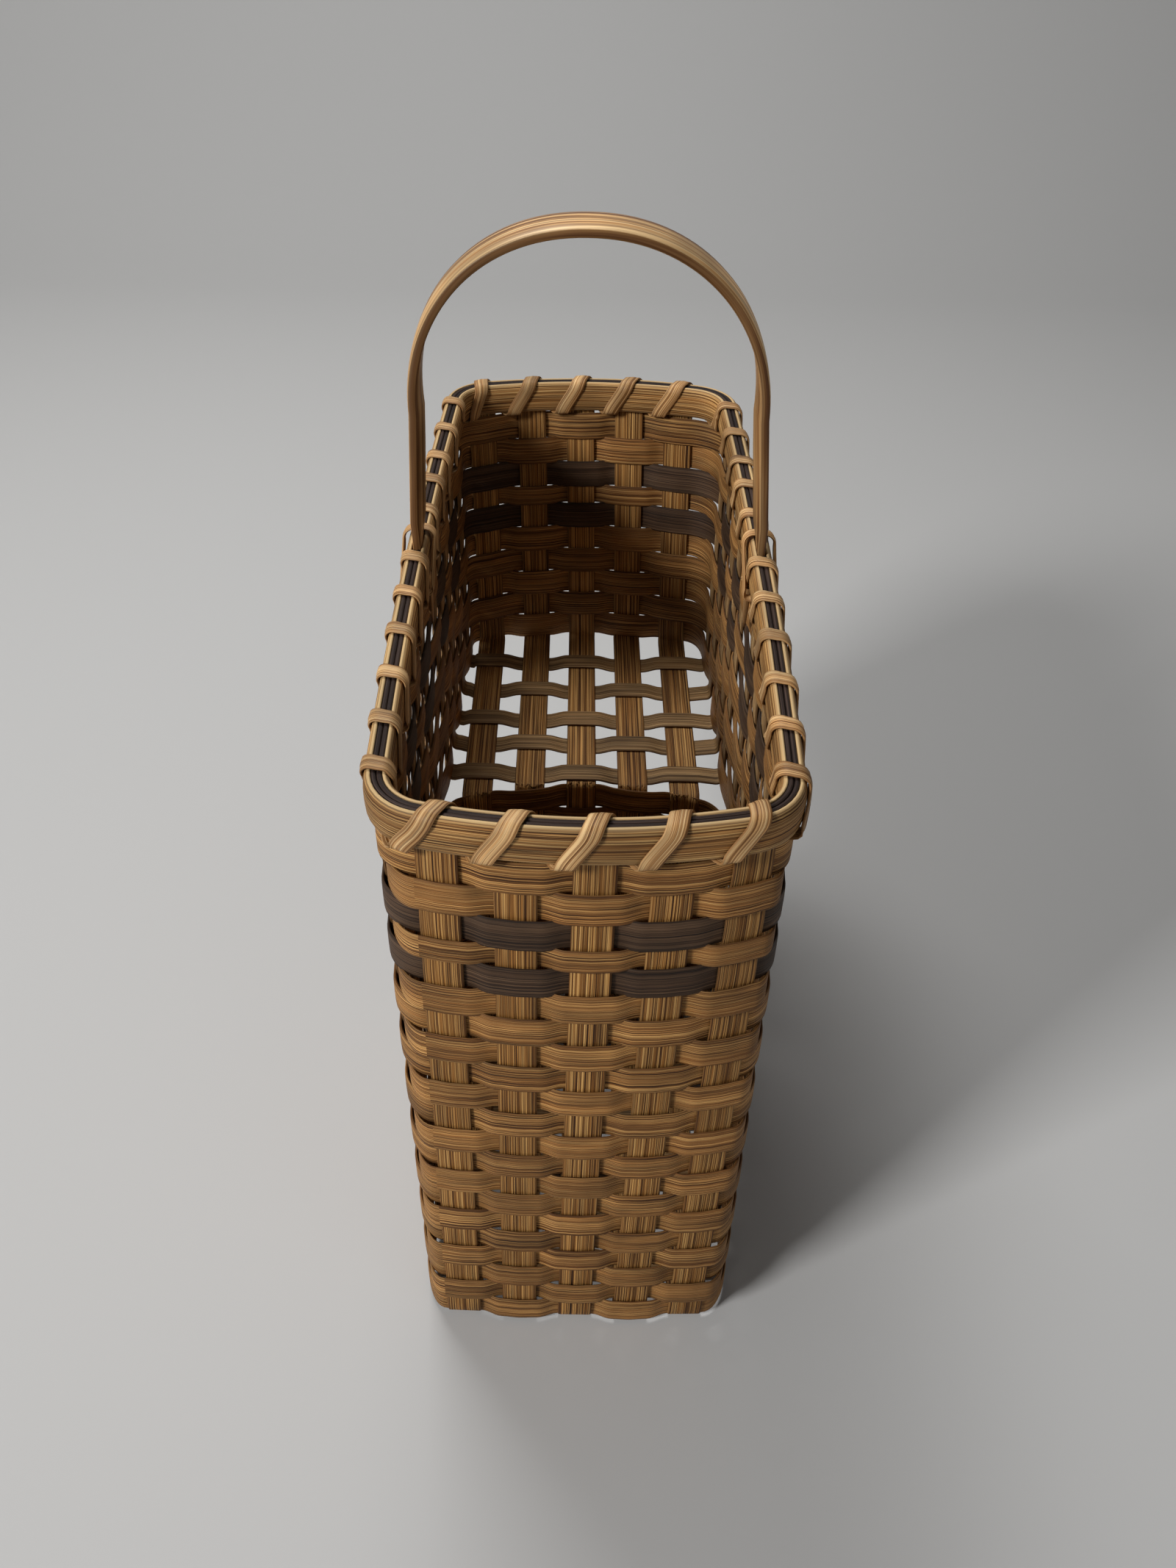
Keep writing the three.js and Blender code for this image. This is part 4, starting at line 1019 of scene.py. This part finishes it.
def handle():
    """One strip: the left leg upwards, the arch, and the right leg downwards."""
    leg_x = RIM.at_y(HANDLE_Y, 1)[0][0]
    arch_x = leg_x - ARCH_INSET
    leaning_x = leg_x - ARCH_INSET * (LEG_LEANS_Z - LEG_FREE_Z) / (ARCH_Z - LEG_FREE_Z)
    seated = (LEG_WIDTH, SEATED_EDGE, SEATED_CROWN, 0.0)
    rise = HANDLE_RISE - LEG_HEIGHT - HANDLE_EDGE / 2 - HANDLE_CROWN

    def leg(sx):
        """Sections from the tail up; each key is height, place, width, edge, crown and turn."""
        out = np.array([sx, 0.0, 0.0])
        keys = [
            (TAIL_END_Z, leg_x - TAIL_INSET - 0.4, 5, 1.5, 0.2, 0.0),
            (ROW_ONE_TOP_Z - 0.2, leg_x - TAIL_INSET, NECK_WIDTH, 2.6, 0.1, 0.0),
            (RIM_UNDER_Z + 0.6, leg_x, NECK_WIDTH, 2.9, 0.1, 0.0),
            (RIM_UNDER_Z + 3, leg_x - SEATED_SHIFT, *seated),
            (RIM_TOP_Z + 1, leg_x - SEATED_SHIFT, *seated),
            (LEG_FREE_Z, leg_x, LEG_WIDTH, HANDLE_EDGE, HANDLE_CROWN, LEG_TURN),
            (LEG_LEANS_Z, leaning_x, UPPER_LEG_WIDTH, HANDLE_EDGE, HANDLE_CROWN, LEG_TURN * 0.9),
        ]
        values = []
        for a, b in zip(keys, keys[1:]):
            steps = max(2, int((b[0] - a[0]) / LEG_STEP))
            values += [[p + (q - p) * j / steps for p, q in zip(a, b)] for j in range(steps)]
        return [handle_ring(sx * x, z, out, *rest) for z, x, *rest in values + [keys[-1]]]

    arch = []
    for i in range(ARCH_STEPS + 1):
        turn = math.pi * i / ARCH_STEPS
        height = math.sin(turn)
        side = math.copysign(abs(math.cos(turn)) ** (2 / ARCH_POWER), -math.cos(turn))
        up = height ** (2 / ARCH_POWER)
        out = unit(np.array([math.copysign(abs(side) ** (ARCH_POWER - 1), side) / arch_x, 0,
                             up ** (ARCH_POWER - 1) / rise]))
        width = UPPER_LEG_WIDTH + (TOP_WIDTH - UPPER_LEG_WIDTH) * height
        arch.append(handle_ring(arch_x * side, ARCH_Z + rise * up, out, width, HANDLE_EDGE, HANDLE_CROWN,
                                ARCH_FOOT_TURN * (1 - height) * (1 - 3 * height)))
    rings = np.array(leg(-1) + arch + leg(1)[::-1])
    add_mesh("handle_bow", *sweep(rings, False, HANDLE_EDGES), HANDLE_WOOD, "handle_wood", "handle")


for k in range(LONG_STAKES):
    long_stake(k)
for i in range(len(CROSS_Y)):
    cross_stake(i)
for row in ALL_ROWS:
    weaver(row)
hoop("hoop_outer", 1, "rim_hoop_outer")
hoop("hoop_inner", -1, "rim_hoop_inner")
filler("filler_near", -1, "rim_filler_near")
filler("filler_far", 1, "rim_filler_far")
lashing()
leg_crossing("lashing_cross_left", -1)
leg_crossing("lashing_cross_right", 1)
handle()

# Every face looks outwards.
for obj in pieces:
    bpy.context.view_layer.objects.active = obj
    obj.select_set(True)
    bpy.ops.object.mode_set(mode="EDIT")
    bpy.ops.mesh.select_all(action="SELECT")
    bpy.ops.mesh.normals_make_consistent(inside=False)
    bpy.ops.object.mode_set(mode="OBJECT")
    obj.select_set(False)


# Stage: a pale sweep that is floor and backdrop in one, in metres.
STAGE_COLOUR, STAGE_ROUGHNESS = (0.5, 0.496, 0.488, 1), 0.6
STAGE_FRONT, STAGE_BEND_Y, STAGE_RADIUS, STAGE_TOP, STAGE_HALF_WIDTH = -4.0, 1.5, 1.0, 4.0, 5
STAGE_STEPS = 16


def backdrop():
    profile = [(STAGE_FRONT, 0.0)]
    for i in range(STAGE_STEPS + 1):
        turn = math.pi / 2 * i / STAGE_STEPS
        profile.append((STAGE_BEND_Y + STAGE_RADIUS * math.sin(turn), STAGE_RADIUS * (1 - math.cos(turn))))
    profile.append((STAGE_BEND_Y + STAGE_RADIUS, STAGE_TOP))
    verts, faces = [], []
    for y, z in profile:
        verts += [(-STAGE_HALF_WIDTH, y, z), (STAGE_HALF_WIDTH, y, z)]
    for i in range(0, 2 * len(profile) - 2, 2):
        faces.append((i, i + 1, i + 3, i + 2))
    mesh = bpy.data.meshes.new("backdrop")
    mesh.from_pydata(verts, [], faces)
    mesh.polygons.foreach_set("use_smooth", [True] * len(mesh.polygons))
    material, _, _, shader = node_material("pale_paper")
    shader.inputs["Base Color"].default_value = STAGE_COLOUR
    shader.inputs["Roughness"].default_value = STAGE_ROUGHNESS
    mesh.materials.append(material)
    obj = bpy.data.objects.new("backdrop", mesh)
    bpy.context.scene.collection.objects.link(obj)


def area_light(name, place, target, size, power):
    """A square light, in metres and watts."""
    data = bpy.data.lights.new(name, "AREA")
    data.size = size
    data.energy = power
    obj = bpy.data.objects.new(name, data)
    obj.location = place
    obj.rotation_euler = (Vector(target) - Vector(place)).to_track_quat("-Z", "Y").to_euler()
    bpy.context.scene.collection.objects.link(obj)


backdrop()
area_light("key", (-2.7, -2.15, 2.35), (0, -0.05, 0.25), 0.9, 132)
area_light("top", (-0.45, 0.85, 2.0), (0, 0.05, 0.3), 0.8, 23)
area_light("fill", (1.5, -1.6, 0.9), (0, 0, 0.25), 1.2, 3)

world = bpy.data.worlds.new("studio")
world.use_nodes = True
background = world.node_tree.nodes["Background"]
background.inputs["Color"].default_value = (1, 1, 1, 1)
background.inputs["Strength"].default_value = 0.08
bpy.context.scene.world = world

# Camera at the photograph's place, fitted to points of the basket. FOCAL is in pixels of the photo.
FOCAL, PHOTO_HEIGHT, SENSOR = 1858.8, 2134, 36
PITCH, YAW, ROLL = math.radians(38.71), math.radians(0.18), math.radians(1.11)
PLACE = Vector((-0.3, -653.0, 739.1)) * MM
camera_data = bpy.data.cameras.new("camera")
camera_data.sensor_fit = "VERTICAL"
camera_data.sensor_height = SENSOR
camera_data.lens = FOCAL * SENSOR / PHOTO_HEIGHT
camera_data.clip_start = 0.01
camera = bpy.data.objects.new("camera", camera_data)
bpy.context.scene.collection.objects.link(camera)
forward = Vector((math.sin(YAW) * math.cos(PITCH), math.cos(YAW) * math.cos(PITCH), -math.sin(PITCH)))
level = Vector((math.cos(YAW), -math.sin(YAW), 0))
upright = level.cross(forward)
right = level * math.cos(ROLL) + upright * math.sin(ROLL)
up = upright * math.cos(ROLL) - level * math.sin(ROLL)
camera.matrix_world = Matrix((
    (right.x, up.x, -forward.x, PLACE.x),
    (right.y, up.y, -forward.y, PLACE.y),
    (right.z, up.z, -forward.z, PLACE.z),
    (0, 0, 0, 1),
))
bpy.context.scene.camera = camera
bpy.context.scene.view_settings.view_transform = "Standard"
